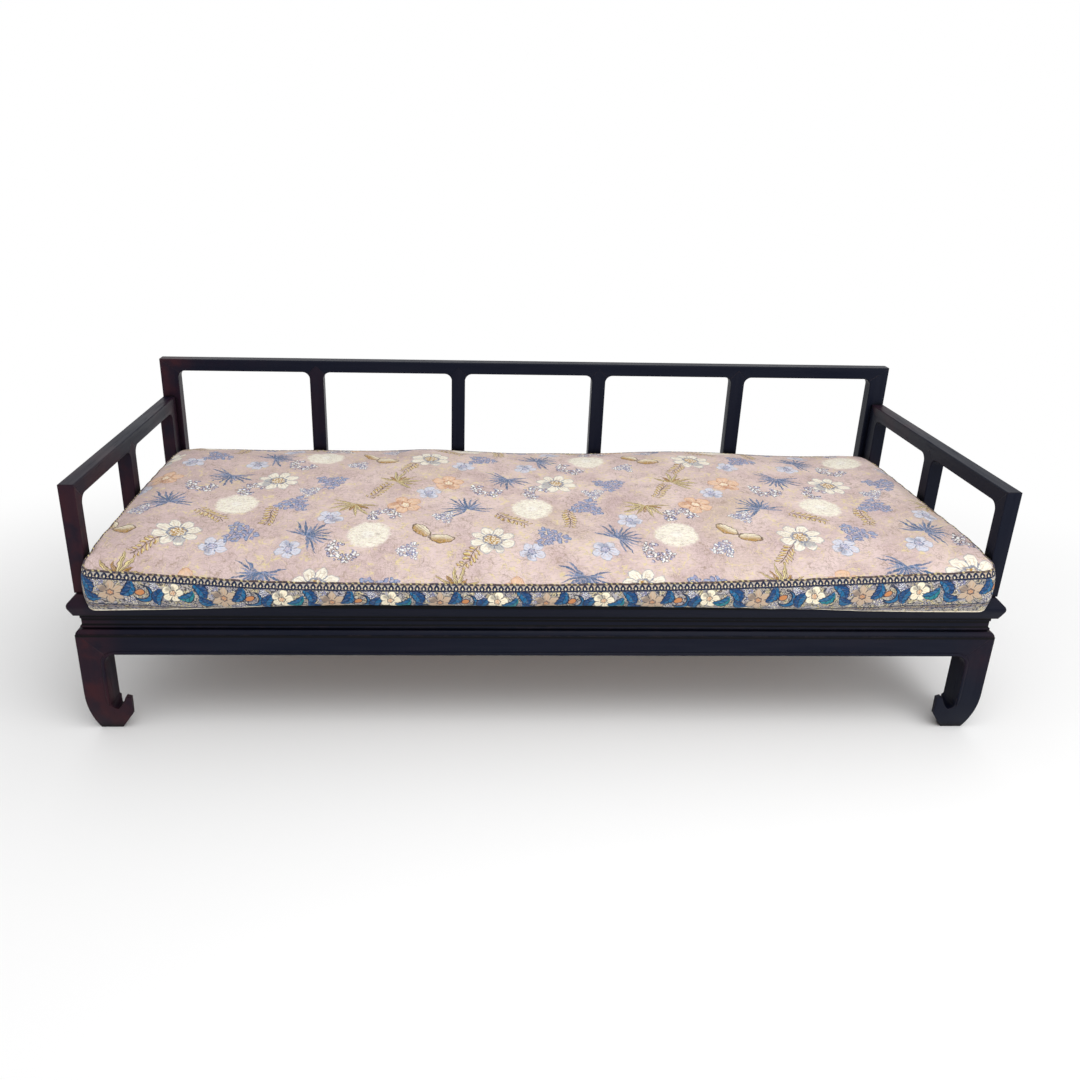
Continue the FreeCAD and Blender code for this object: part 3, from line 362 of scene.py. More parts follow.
def plain_wood(along, settings):
    """Unfinished wood of the boards and braces, with growth rings."""
    material, tree = new_material(f"inner_wood_{along}")
    place, drawn = wood_place(tree, along)
    growth = noise(tree, drawn, *GROWTH)
    rings = (growth * RINGS).math("FRACT").eased(0.25, 0.95)
    fibres = noise(tree, drawn, *FIBRES)
    colour = mixed(rings * 0.55 + fibres * 0.3, settings.plain, settings.plain_grain)
    dirt = noise(tree, place, *DIRT).eased(0.5, 0.8)
    colour = mixed(dirt * 0.35, colour, settings.grain)
    finish_surface(tree, colour, 0.62 + 0.2 * fibres, fibres + rings * 0.4, INNER_WOOD_RELIEF,
                   Specular_IOR_Level=0.3)
    return material


def long_way(member):
    """Axis along which a member is longest."""
    low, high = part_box(member.name)
    spans = dict(zip("xyz", high - low))
    return max(spans, key=spans.get)


class DAYBED_OT_wood(bpy.types.Operator):
    """Finish every wooden member, with the grain along it"""
    bl_idname = "daybed.wood"
    bl_label = "Finish the Wood"

    def execute(self, context):
        settings = context.scene.daybed_wood
        dark = {along: hardwood(along, settings) for along in GRAIN_STRETCHES}
        plain = {along: plain_wood(along, settings) for along in GRAIN_STRETCHES}
        slots = {row["node"]: row["material_slot"] for row in frame["record"]["subparts"]}
        for name, member in frame["nodes"].items():
            if name.startswith("cushion"):
                continue
            woods = plain if slots[name] == "inner_wood" else dark
            member.data.materials.clear()
            member.data.materials.append(woods[long_way(member)])
        return {"FINISHED"}


# Helpers for modelling
def deselect_all():
    if bpy.context.object and bpy.context.object.mode != "OBJECT":
        bpy.ops.object.mode_set(mode="OBJECT")
    bpy.ops.object.select_all(action="DESELECT")


def choose(*pieces):
    """Make these the only selected pieces, the last one active."""
    deselect_all()
    for piece in pieces:
        piece.select_set(True)
        bpy.context.view_layer.objects.active = piece


def settle(piece, name, material):
    """Name a finished piece, with its place in its mesh."""
    choose(piece)
    bpy.ops.object.transform_apply(location=True, rotation=True, scale=True)
    piece.name = name
    piece.data.name = name
    if material:
        piece.data.materials.clear()
        piece.data.materials.append(material)


# Bead along aprons and legs: sides of its section, and steps round a corner and down a foot
BEAD_SIDES = 14
CORNER_STEPS = 8
FOOT_STEPS = 5
# How deep the bead's flat back lies in the wood, and share of its width at its lower ends
BEAD_ROOT = 0.0003
BEAD_END_SHARE = 0.25
MERGE_DISTANCE = 1e-6
SHARP_ANGLE = math.radians(40)


def push_out(vector):
    """Extrude the selected face by a vector."""
    bpy.ops.mesh.extrude_region_move(TRANSFORM_OT_translate={"value": vector})


# Places of the carving on legs and aprons, metres in from the leg's outer faces and up
LEG_WIDTH = 0.056
APRON_UNDER = 0.205
SPANDREL_ROUND = 0.025
BEAD_FOOT = 0.070
FOOT_CURVE_TOP = 0.105
FOOT_CURVE_RADIUS = 0.2996


def foot_inset(height):
    """How far the leg's face lies back at a height, where the foot curves in."""
    drop = max(FOOT_CURVE_TOP - height, 0)
    return FOOT_CURVE_RADIUS - math.sqrt(FOOT_CURVE_RADIUS ** 2 - drop ** 2)


def make_bead(half_run, face, settings):
    """Bead of one side, at the front: up a leg, round the corner, along the apron and down."""
    inner = half_run - LEG_WIDTH
    lane = inner + settings.margin
    turn_x, turn_z = inner - SPANDREL_ROUND, APRON_UNDER - SPANDREL_ROUND
    deselect_all()
    bpy.ops.mesh.primitive_circle_add(vertices=BEAD_SIDES, radius=settings.width / 2,
                                      fill_type="NGON", location=(-lane, face, BEAD_FOOT))
    bead = bpy.context.object
    bead.scale.y = 2 * settings.rise / settings.width
    bpy.ops.object.transform_apply(location=True, rotation=True, scale=True)
    bpy.ops.object.mode_set(mode="EDIT")
    bpy.ops.mesh.select_all(action="SELECT")
    rise = (FOOT_CURVE_TOP - BEAD_FOOT) / FOOT_STEPS
    for _ in range(FOOT_STEPS):
        push_out((0, 0, rise))
    push_out((0, 0, turn_z - FOOT_CURVE_TOP))
    bpy.ops.mesh.spin(steps=CORNER_STEPS, angle=-math.pi / 2, center=(-turn_x, face, turn_z),
                      axis=(0, 1, 0))
    push_out((2 * turn_x, 0, 0))
    bpy.ops.mesh.spin(steps=CORNER_STEPS, angle=-math.pi / 2, center=(turn_x, face, turn_z),
                      axis=(0, 1, 0))
    push_out((0, 0, FOOT_CURVE_TOP - turn_z))
    for _ in range(FOOT_STEPS):
        push_out((0, 0, -rise))
    bpy.ops.mesh.select_all(action="SELECT")
    bpy.ops.mesh.remove_doubles(threshold=MERGE_DISTANCE)
    bpy.ops.mesh.select_all(action="SELECT")
    bpy.ops.mesh.bisect(plane_co=(0, face + BEAD_ROOT, 0), plane_no=(0, 1, 0), use_fill=True,
                        clear_outer=True)
    bpy.ops.mesh.select_all(action="SELECT")
    bpy.ops.mesh.normals_make_consistent(inside=False)
    bpy.ops.object.mode_set(mode="OBJECT")
    for point in bead.data.vertices:
        point.co.y += foot_inset(point.co.z)
        up_foot = (point.co.z - BEAD_FOOT) / (FOOT_CURVE_TOP - BEAD_FOOT)
        taper = min(1, up_foot + BEAD_END_SHARE)
        centre = math.copysign(lane, point.co.x)
        if point.co.z < FOOT_CURVE_TOP:
            point.co.x = centre + (point.co.x - centre) * taper
    bpy.ops.object.shade_smooth_by_angle(angle=SHARP_ANGLE)
    return bead


class DAYBED_OT_beads(bpy.types.Operator):
    """Model the raised bead on the four sides"""
    bl_idname = "daybed.beads"
    bl_label = "Make the Beads"

    def execute(self, context):
        settings = context.scene.daybed_bead
        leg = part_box("leg_front_left")[0]
        half_length, half_depth = -leg.x, -leg.y
        for name, turn, run, face in (("front", 0, half_length, half_depth),
                                      ("right", 90, half_depth, half_length),
                                      ("rear", 180, half_length, half_depth),
                                      ("left", 270, half_depth, half_length)):
            bead = make_bead(run, -face, settings)
            bead.data.transform(Matrix.Rotation(math.radians(turn), 4, "Z"))
            wood = "dark_hardwood_x" if name in ("front", "rear") else "dark_hardwood_y"
            settle(bead, "bead_" + name, bpy.data.materials[wood])
            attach(bead, "frame")
        return {"FINISHED"}


# Cushion: rows of cells down its band, and height of the seat that it lies on
BAND_ROWS = 8
SEAT_TOP = 0.350
# Height of the upper seam along the front and the back: (place across, height)
FRONT_SEAM = ((-0.995, 0.420), (-0.784, 0.406), (-0.595, 0.394), (-0.316, 0.390),
              (0.0, 0.390), (0.337, 0.397), (0.666, 0.411), (0.995, 0.429))
BACK_SEAM = ((-0.995, 0.447), (-0.90, 0.4505), (-0.75, 0.4492), (-0.57, 0.4500),
             (-0.43, 0.4497), (-0.30, 0.4548), (-0.18, 0.4522), (-0.04, 0.4460),
             (0.10, 0.4472), (0.24, 0.4495), (0.34, 0.4545), (0.50, 0.4562),
             (0.64, 0.4490), (0.77, 0.4448), (0.90, 0.4462), (0.995, 0.4440))
# Height of the upper seam along the sides: (place from front to back, height)
LEFT_SEAM = ((-0.391, 0.420), (-0.372, 0.434), (-0.345, 0.4445), (-0.300, 0.4500),
             (-0.210, 0.4540), (-0.020, 0.4590), (0.150, 0.4605), (0.250, 0.4570),
             (0.317, 0.447))
RIGHT_SEAM = ((-0.391, 0.429), (-0.372, 0.440), (-0.345, 0.4490), (-0.300, 0.4535),
              (-0.200, 0.4548), (0.050, 0.4555), (0.190, 0.4560), (0.260, 0.4520),
              (0.317, 0.444))
# Height of the lower seam along the front
LOW_SEAM = ((-0.995, 0.3200), (-0.93, 0.3220), (-0.80, 0.3252), (-0.65, 0.3310),
            (-0.50, 0.3370), (-0.35, 0.3382), (-0.10, 0.3375), (0.05, 0.3388),
            (0.18, 0.3378), (0.30, 0.3357), (0.45, 0.3335), (0.60, 0.3305),
            (0.70, 0.3272), (0.80, 0.3255), (0.995, 0.3250))
# How far the front corners fill out past the front posts, and from where, over what run
CORNER_FILL = 0.0085
CORNER_FILL_DEPTH = -0.358
CORNER_FILL_DEPTH_RUN = 0.016
CORNER_FILL_PLACE = 0.86
CORNER_FILL_PLACE_RUN = 0.10
# From this place across to the ends, the upper seam follows the heights along the sides
SIDE_LIFT_PLACE = 0.80
# The top falls away towards the front along this power, and its crown towards the rims
FALL_POWER = 2.2
CROWN_END_POWER = 16
CROWN_SIDE_POWER = 5
# In front of this place the band hangs over the seat's front edge
HANG_DEPTH = -0.372
HANG_RUN = 0.016
# Up to this place across, the lower front seam is pushed under
TUCK_PLACE = 0.50
TUCK_RUN = 0.46
# Heights of the lower seam and of the lower panel over the seat
SEAM_REST = 0.0030
PANEL_REST = 0.0007
# Added bulge of the front band
FRONT_BULGE = 0.0055
# The handles of the band's curve reach further out than its bulge by this factor
HANDLE_REACH = 4 / 3
# Shares of the band's height by which its curve leaves the two seams
UPPER_CURVE_SHARE = 0.2
LOWER_CURVE_SHARE = 0.18
TUCKED_CURVE_SHARE = 0.36
# From this share of the way out, a point of a panel is on its rim
RIM_SHARE = 0.999
# A point this near to a rim or to a level is on it, and places are told apart to these digits
NEARNESS = 1e-5
NEARNESS_DIGITS = 5
# A face is part of the band if its normal rises less than this
LEVEL_NORMAL = 0.5
# Where the lower panel falls to the front seam, and where it is pushed back
PANEL_FALL_DEPTH = -0.366
PANEL_FALL_RUN = 0.025
PANEL_TUCK_DEPTH = -0.330
PANEL_TUCK_RUN = 0.061
# Soft waves of the top: radians a metre across and back, start, height against the others
TOP_WAVES = ((20.3, 3.1, 0.0, 1.0), (36.3, -7.0, 1.3, 0.8), (5.7, 24.2, 0.6, 0.7))
# Gathers along the upper seam: radians a metre, and how they crowd and spread
GATHER_RATE = 131
GATHER_CROWDING = 1.7
GATHER_CROWDING_RATE = 17
GATHER_REACH = 0.024
GATHER_BACK_RUN = 0.09
# Share of the waves that the gathers take away along the seam
CALM_SHARE = 0.6


def smooth(share):
    """Soft step between 0 and 1."""
    share = min(max(share, 0), 1)
    return share * share * (3 - 2 * share)


def height_along(stations, place):
    """Smooth height between measured stations."""
    last = len(stations) - 1
    index = next((i for i in range(last) if place <= stations[i + 1][0]), last - 1)
    (x0, z0), (x1, z1) = stations[index], stations[index + 1]
    before, after = stations[max(index - 1, 0)], stations[min(index + 2, last)]
    slope0 = (z1 - before[1]) / (x1 - before[0])
    slope1 = (after[1] - z0) / (after[0] - x0)
    run = x1 - x0
    t = min(max((place - x0) / run, 0), 1)
    return (z0 * (2 * t ** 3 - 3 * t ** 2 + 1) + slope0 * run * (t ** 3 - 2 * t ** 2 + t)
            + z1 * (3 * t ** 2 - 2 * t ** 3) + slope1 * run * (t ** 3 - t ** 2))


class Pattern:
    """Cut of the cushion: places on the sewn cushion for places on the flat panels."""

    def __init__(self, settings):
        self.cut = settings
        self.half = settings.half_length
        self.middle = (settings.front + settings.back) / 2
        self.half_depth = (settings.back - settings.front) / 2

    def plan(self, x, y):
        """Place in plan with rounded corners, and the way out of the outline there."""
        radius = self.cut.corner
        p = (abs(x) - (self.half - radius)) / radius
        q = (abs(y) - (self.half_depth - radius)) / radius
        side_x, side_y = math.copysign(1, x), math.copysign(1, y)
        if p > 0 and q > 0:
            p, q = p * math.sqrt(1 - q * q / 2), q * math.sqrt(1 - p * p / 2)
            x = side_x * (self.half - radius + p * radius)
            y = side_y * (self.half_depth - radius + q * radius)
            out = Vector((side_x * p, side_y * q, 0))
        elif p > q:
            out = Vector((side_x, 0, 0))
        else:
            out = Vector((0, side_y, 0))
        y += self.middle
        past_posts = smooth((CORNER_FILL_DEPTH - y) / CORNER_FILL_DEPTH_RUN)
        near_end = smooth((abs(x) - CORNER_FILL_PLACE) / CORNER_FILL_PLACE_RUN)
        x += side_x * CORNER_FILL * past_posts * near_end
        return Vector((x, y, 0)), out.normalized()

    def seam_height(self, x, y):
        """Height of the plane through the upper seam."""
        side, stations = (-self.half, LEFT_SEAM) if x < 0 else (self.half, RIGHT_SEAM)
        lift = height_along(stations, y) - self.fall(side, y)
        near_end = smooth((abs(x) - SIDE_LIFT_PLACE) / (self.half - SIDE_LIFT_PLACE))
        return self.fall(x, y) + lift * near_end

    def fall(self, x, y):
        """Height between the front and the back seam, pressed down towards the front."""
        front, back = height_along(FRONT_SEAM, x), height_along(BACK_SEAM, x)
        share = (y - self.cut.front) / (self.cut.back - self.cut.front)
        return back + (front - back) * (1 - min(max(share, 0), 1)) ** FALL_POWER

    def top(self, x, y):
        """Place on the upper panel."""
        place, _ = self.plan(x, y)
        across = 1 - abs(x / self.half) ** CROWN_END_POWER
        deep = 1 - abs(y / self.half_depth) ** CROWN_SIDE_POWER
        place.z = self.seam_height(place.x, place.y) + self.cut.crown * across * deep
        return place

    def front_share(self, y):
        """1 on the band that hangs over the seat's front edge, 0 behind it."""
        return smooth((HANG_DEPTH - y) / HANG_RUN)

    def tucked_share(self, x):
        """1 along the middle, where the lower front seam is pushed under, 0 at the corners."""
        return 1 - smooth((abs(x) - TUCK_PLACE) / TUCK_RUN)

    def low_seam(self, x, y):
        """Place on the lower seam, and the way out of the outline there."""
        place, out = self.plan(x, y)
        front, tucked = self.front_share(place.y), self.tucked_share(place.x)
        resting = SEAT_TOP + SEAM_REST
        place.z = resting + (height_along(LOW_SEAM, x) - resting) * front
        place -= out * self.cut.tuck * front * tucked
        return place, out

    def band(self, x, y, down):
        """Place on the band, down from 0 at the upper seam to 1 at the lower one."""
        start = self.top(x, y)
        end, out = self.low_seam(x, y)
        height = start.z - end.z
        front = self.front_share(start.y)
        tucked = front * self.tucked_share(start.x)
        bulge = (self.cut.bulge + FRONT_BULGE * front) * HANDLE_REACH
        upper = start + out * bulge - Vector((0, 0, height * UPPER_CURVE_SHARE))
        lower = end + out * (bulge + self.cut.tuck * tucked)
        lower.z += height * (LOWER_CURVE_SHARE - TUCKED_CURVE_SHARE * tucked)
        up = 1 - down
        return (start * up ** 3 + upper * (3 * up ** 2 * down) + lower * (3 * up * down ** 2)
                + end * down ** 3)

    def bottom(self, x, y):
        """Place on the lower panel, which lies on the seat and over the seat's bevel."""
        seam, _ = self.low_seam(x, y)
        rim_share = max(abs(x) / self.half, abs(y) / self.half_depth)
        if rim_share > RIM_SHARE:
            return seam
        place, _ = self.plan(x, y)
        place.z = SEAT_TOP + PANEL_REST
        edge, _ = self.low_seam(x, -self.half_depth)
        fallen = smooth((PANEL_FALL_DEPTH - place.y) / PANEL_FALL_RUN)
        place.z += (edge.z - place.z) * fallen
        pushed = smooth((PANEL_TUCK_DEPTH - place.y) / PANEL_TUCK_RUN)
        place.y += self.cut.tuck * self.tucked_share(x) * pushed
        return place

    def unevenness(self, x, y):
        """Height of the soft waves and of the gathers along the seam on the upper panel."""
        waves = sum(height * math.sin(across * x + back * y + start)
                    for across, back, start, height in TOP_WAVES)
        waves /= sum(height for *_, height in TOP_WAVES)
        side, end = self.half_depth - abs(y), self.half - abs(x)
        along, edge = (x, side) if side < end else (y, end)
        crowding = GATHER_CROWDING * math.sin(GATHER_CROWDING_RATE * along)
        gathers = math.sin(GATHER_RATE * along + crowding)
        near = math.exp(-edge / GATHER_REACH)
        gathered = near * smooth((self.half_depth - y) / GATHER_BACK_RUN)
        waves *= 1 - CALM_SHARE * near
        return self.cut.ripple * waves + self.cut.pucker * gathers * gathered

    def perimeter(self, x, y, way):
        """Distance round the band, from the front left corner, for a face that looks that way."""
        half, deep = self.half, self.half_depth
        if abs(way.y) > abs(way.x):
            return x + half if way.y < 0 else 3 * half + 2 * deep - x
        return 2 * half + deep + y if way.x > 0 else 4 * half + 3 * deep - y


def add_panel(cells_x, cells_y, half, half_depth, height):
    """Flat panel of square cells at a height."""
    deselect_all()
    bpy.ops.mesh.primitive_grid_add(x_subdivisions=cells_x, y_subdivisions=cells_y, size=2)
    panel = bpy.context.object
    panel.scale = (half, half_depth, 1)
    panel.location.z = height
    bpy.ops.object.transform_apply(location=True, rotation=True, scale=True)
    return panel


def cut_cushion(pattern):
    """Two panels joined by the band, flat and square, with the cloth's own coordinates."""
    cell = pattern.cut.cell
    cells_x = round(2 * pattern.half / cell)
    cells_y = round(2 * pattern.half_depth / cell)
    lower = add_panel(cells_x, cells_y, pattern.half, pattern.half_depth, 0)
    upper = add_panel(cells_x, cells_y, pattern.half, pattern.half_depth, 1)
    choose(lower, upper)
    bpy.ops.object.join()
    cushion = bpy.context.object
    bpy.ops.object.mode_set(mode="EDIT")
    bpy.ops.mesh.select_mode(type="EDGE")
    bpy.ops.mesh.select_all(action="DESELECT")
    bpy.ops.mesh.select_non_manifold()
    bpy.ops.mesh.bridge_edge_loops(number_cuts=BAND_ROWS - 1)
    bpy.ops.mesh.select_all(action="SELECT")
    bpy.ops.mesh.normals_make_consistent(inside=False)
    bpy.ops.object.mode_set(mode="OBJECT")
    return cushion


def lay_cloth(cushion, pattern):
    """Give the cloth its coordinates in metres: plan on the panels, round and down the band."""
    mesh = cushion.data
    while mesh.uv_layers:
        mesh.uv_layers.remove(mesh.uv_layers[0])
    cloth = mesh.uv_layers.new(name="cloth")
    drops = {}
    for face in mesh.polygons:
        banded = abs(face.normal.z) < LEVEL_NORMAL
        face.material_index = 1 if banded else 0
        for loop in face.loop_indices:
            point = mesh.vertices[mesh.loops[loop].vertex_index].co
            if not banded:
                cloth.data[loop].uv = (point.x, point.y)
                continue
            key = (round(point.x, NEARNESS_DIGITS), round(point.y, NEARNESS_DIGITS))
            if key not in drops:
                path = [pattern.band(point.x, point.y, step / BAND_ROWS)
                        for step in range(BAND_ROWS + 1)]
                lengths = [0]
                for start, end in zip(path, path[1:]):
                    lengths.append(lengths[-1] + (end - start).length)
                drops[key] = lengths
            row = round((1 - point.z) * BAND_ROWS)
            cloth.data[loop].uv = (pattern.perimeter(point.x, point.y, face.normal),
                                   -drops[key][row])


def sew(cushion, pattern):
    """Sew the flat cushion, name its seams and return the unevenness of the upper panel."""
    seams = {"upper_seam": [], "lower_seam": [], "held": []}
    uneven = {}
    rim_x, rim_y = pattern.half - NEARNESS, pattern.half_depth - NEARNESS
    for point in cushion.data.vertices:
        x, y, level = point.co
        on_rim = abs(x) > rim_x or abs(y) > rim_y
        if level > 1 - NEARNESS:
            uneven[point.index] = pattern.unevenness(x, y)
            point.co = pattern.top(x, y)
            if on_rim:
                seams["upper_seam"].append(point.index)
                seams["held"].append(point.index)
        elif level < NEARNESS:
            point.co = pattern.bottom(x, y)
            seams["held"].append(point.index)
            if on_rim:
                seams["lower_seam"].append(point.index)
        else:
            point.co = pattern.band(x, y, 1 - level)
    for name, points in seams.items():
        cushion.vertex_groups.new(name=name).add(points, 1, "REPLACE")
    return uneven


# The filling presses from inside on cloth that gives a little
FILLING = {
    "quality": 6,
    "mass": 0.3,
    "tension_stiffness": 18,
    "compression_stiffness": 18,
    "shear_stiffness": 6,
    "bending_stiffness": 0.8,
    "use_pressure": True,
    "uniform_pressure_force": 4,
    "vertex_group_mass": "held",
    "shrink_min": -0.012,
}
FILLING_MOMENTS = 20


def stuff(cushion, settings):
    """Fill the sewn cushion: the cloth swells between its seams, up to a limit."""
    scene = bpy.context.scene
    sewn = [point.co.copy() for point in cushion.data.vertices]
    choose(cushion)
    bpy.ops.object.modifier_add(type="CLOTH")
    modifier = cushion.modifiers[-1]
    for name, value in FILLING.items():
        setattr(modifier.settings, name, value)
    modifier.settings.effector_weights.gravity = 0
    modifier.point_cache.frame_start = 1
    modifier.point_cache.frame_end = FILLING_MOMENTS
    for moment in range(1, FILLING_MOMENTS + 1):
        scene.frame_set(moment)
    bpy.ops.object.modifier_apply(modifier=modifier.name)
    scene.frame_set(1)
    for point, start in zip(cushion.data.vertices, sewn):
        moved = point.co - start
        if moved.length > settings.swell:
            point.co = start + moved * (settings.swell / moved.length)


# Inner faces of the railings, with a little room
RAIL_ROOM = 0.9943
BACK_ROOM = 0.3256
# In front of the front posts the cloth has this much more room at its ends
POST_DEPTH = -0.3672
POST_ROOM = 0.0065
# Room between the cloth and the seat
SEAT_ROOM = 0.0005
# The seat's front edge falls away at 45 degrees from here, for this far
BEVEL_START = -0.369
BEVEL_RUN = 0.0145


def keep_clear(cushion):
    """Rest the cloth against the railings and the seat instead of in them."""
    for point in cushion.data.vertices:
        place = point.co
        room = RAIL_ROOM + min(max(POST_DEPTH - place.y, 0), POST_ROOM)
        place.x = min(max(place.x, -room), room)
        place.y = min(place.y, BACK_ROOM)
        over_edge = max(BEVEL_START - place.y, 0)
        if over_edge < BEVEL_RUN:
            place.z = max(place.z, SEAT_TOP + SEAT_ROOM - over_edge)


# After the rounding, the points that are still wholly in a seam's group lie on the seam
WHOLE_WEIGHT = 0.99


def make_welt(cushion, group, radius, name, material):
    """Welt along a seam: the seam's own edges, thickened."""
    choose(cushion)
    index = cushion.vertex_groups[group].index
    on_seam = [any(share.group == index and share.weight > WHOLE_WEIGHT
                   for share in point.groups)
               for point in cushion.data.vertices]
    for point in cushion.data.vertices:
        point.select = on_seam[point.index]
    for face in cushion.data.polygons:
        face.select = False
    for edge in cushion.data.edges:
        edge.select = all(on_seam[end] for end in edge.vertices)
    bpy.ops.object.mode_set(mode="EDIT")
    bpy.ops.mesh.select_mode(type="EDGE")
    bpy.ops.mesh.duplicate()
    bpy.ops.mesh.separate(type="SELECTED")
    bpy.ops.object.mode_set(mode="OBJECT")
    welt = next(piece for piece in bpy.context.selected_objects if piece is not cushion)
    choose(welt)
    bpy.ops.object.convert(target="CURVE")
    welt = bpy.context.object
    welt.data.bevel_depth = radius
    welt.data.bevel_resolution = 2
    bpy.ops.object.convert(target="MESH")
    welt = bpy.context.object
    bpy.ops.object.shade_smooth()
    settle(welt, name, material)
    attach(welt, "cushion")


# Motifs of the print, each drawn round the origin, with a radius of about 1
def new_motif(name):
    """Group of nodes for one motif: place in, colour and mask out."""
    tree = bpy.data.node_groups.new(name, "ShaderNodeTree")
    tree.interface.new_socket("Place", in_out="INPUT", socket_type="NodeSocketVector")
    for colour in ("Light", "Dark", "Accent"):
        tree.interface.new_socket(colour, in_out="INPUT", socket_type="NodeSocketColor")
    tree.interface.new_socket("Colour", in_out="OUTPUT", socket_type="NodeSocketColor")
    tree.interface.new_socket("Mask", in_out="OUTPUT", socket_type="NodeSocketFloat")
    inlet = tree.nodes.new("NodeGroupInput")
    sockets = [Field(tree, socket) for socket in inlet.outputs[:4]]
    return tree, sockets


def close_motif(tree, colour, mask):
    """Lead a motif's colour and mask out of its group."""
    outlet = tree.nodes.new("NodeGroupOutput")
    fill(tree, colour, outlet.inputs[0])
    fill(tree, mask, outlet.inputs[1])
    return tree


def polar(place):
    """Across, up, distance from the origin and angle round it."""
    x, y = parts_of(place)
    return x, y, (x * x + y * y).math("SQRT"), y.math("ARCTAN2", x)


def oval(x, y, middle, turn, radii):
    """Distance from the middle of an oval, 1 on its rim, and the place across it."""
    across, up = x - middle[0], y - middle[1]
    long_way = (across * math.cos(turn) + up * math.sin(turn)) / radii[0]
    short_way = (up * math.cos(turn) - across * math.sin(turn)) / radii[1]
    return (long_way * long_way + short_way * short_way).math("SQRT"), short_way


def petal_share(turn, petals):
    """0 in the middle of a petal and 1 between two petals."""
    return (turn * (petals / (2 * math.pi))).math("FRACT").math("SUBTRACT", 0.5).size() * 2


def open_flower(name, petals, roundness, heart_radius):
    """Open flower: a ring of veined petals, a shaded side and a dotted heart."""
    tree, (place, light, dark, accent) = new_motif(name)
    x, y, far, turn = polar(place)
    side = petal_share(turn, petals)
    edge = (1.0 - side.math("POWER", roundness)) * 0.36 + 0.64
    mask = far.eased(edge, edge - 0.06)
    parting = side.eased(0.82, 0.97) * far.eased(0.30, 0.45)
    rim = far.eased(edge - 0.10, edge - 0.04)
    veins = (turn * (petals * 3.0)).math("COSINE").eased(0.55, 0.95) * far.eased(0.92, 0.42)
    shaded, _ = oval(x, y, (-0.45, 0.25), 0.6, (0.50, 0.28))
    colour = mixed(veins * 0.55, light, accent)
    colour = mixed(shaded.eased(1.0, 0.55) * 0.50, colour, dark)
    colour = mixed((rim * 0.65).math("MAXIMUM", parting * 0.9), colour, dark)
    ring = far + side * 0.07
    colour = mixed(ring.eased(heart_radius, heart_radius - 0.06), colour, accent)
    colour = mixed(ring.line(heart_radius, 0.07) * 0.8, colour, dark)
    seeds = node(tree, "ShaderNodeTexVoronoi", {"Vector": place, "Scale": 10.0},
                 voronoi_dimensions="2D").eased(0.46, 0.26)
    colour = mixed(seeds * far.eased(heart_radius, heart_radius - 0.1) * 0.9, colour, light)
    return close_motif(tree, colour, mask)


def full_bloom(name):
    """Full round bloom of many curled petals, paler than the cloth, with a soft rim."""
    tree, (place, light, dark, accent) = new_motif(name)
    _, _, far, turn = polar(place)
    ragged = noise(tree, place, 5.0, 3.0, 0.7) * 0.34
    mask = (far + ragged).eased(1.14, 0.92)
    scallops = (turn * 8.0 + far * 5.0).math("COSINE").size() * 0.6
    rings = (far * 4.6 + scallops).math("FRACT")
    colour = mixed(rings.eased(0.72, 0.98) * 0.75, light, dark)
    colour = mixed(rings.eased(0.32, 0.0) * 0.45, colour, accent)
    colour = mixed(far.eased(0.36, 0.05) * 0.45, colour, accent)
    return close_motif(tree, colour, mask)


def berries(name, arc):
    """Crowded berries in a heap, or in a loose arc."""
    tree, (place, light, dark, accent) = new_motif(name)
    cells = tree.nodes.new("ShaderNodeTexVoronoi")
    cells.voronoi_dimensions = "2D"
    fill(tree, place, cells.inputs["Vector"])
    fill(tree, 5.6, cells.inputs["Scale"])
    distance = Field(tree, cells.outputs["Distance"])
    tint = parts_of(Field(tree, cells.outputs["Color"]))[0]
    _, y, far, turn = polar(Field(tree, cells.outputs["Position"]))
    if arc:
        present = (far - 0.62).size().eased(0.30, 0.28) * y.eased(-0.35, -0.30)
    else:
        reach = (1.0 - petal_share(turn + 0.5, 3)) * 0.45 + 0.50
        present = far.eased(reach, reach - 0.02)
    mask = present * distance.eased(0.62, 0.56)
    colour = mixed(tint.eased(0.30, 0.70), accent, light)
    colour = mixed(distance.eased(0.34, 0.46), colour, dark)
    colour = mixed(distance.eased(0.16, 0.08) * 0.6, colour, light)
    return close_motif(tree, colour, mask)


def leaf_fan(name, leaves, spread, slim):
    """Fan of pointed leaves of unequal length from one root, each with a rib and a rim."""
    tree, (place, light, dark, accent) = new_motif(name)
    x, y = parts_of(place)
    y += 0.25
    turn = x.math("ARCTAN2", y)
    far = (x * x + y * y).math("SQRT")
    count = turn * (leaves / spread) + leaves / 2
    index = count.math("FLOOR")
    chance = node(tree, "ShaderNodeTexWhiteNoise", {"W": index}, noise_dimensions="1D")
    lean = (count - index - 0.5) * (spread / leaves)
    along, across = far * lean.math("COSINE"), far * lean.math("SINE")
    share = along / (0.60 + 0.52 * chance)
    side = across / (share * (1.0 - share) * (4 * slim) + 0.002)
    part = side.size()
    in_fan = turn.size().eased(spread / 2, spread / 2 - 0.01)
    mask = part.eased(1.05, 0.92) * in_fan * share.eased(1.0, 0.98)
    colour = mixed(chance.eased(0.3, 0.7), light, accent)
    colour = mixed(side.eased(-0.1, 0.5) * 0.45, colour, dark)
    colour = mixed(part.eased(0.58, 0.80).math("MAXIMUM", part.eased(0.20, 0.05)), colour, dark)
    return close_motif(tree, colour, mask)


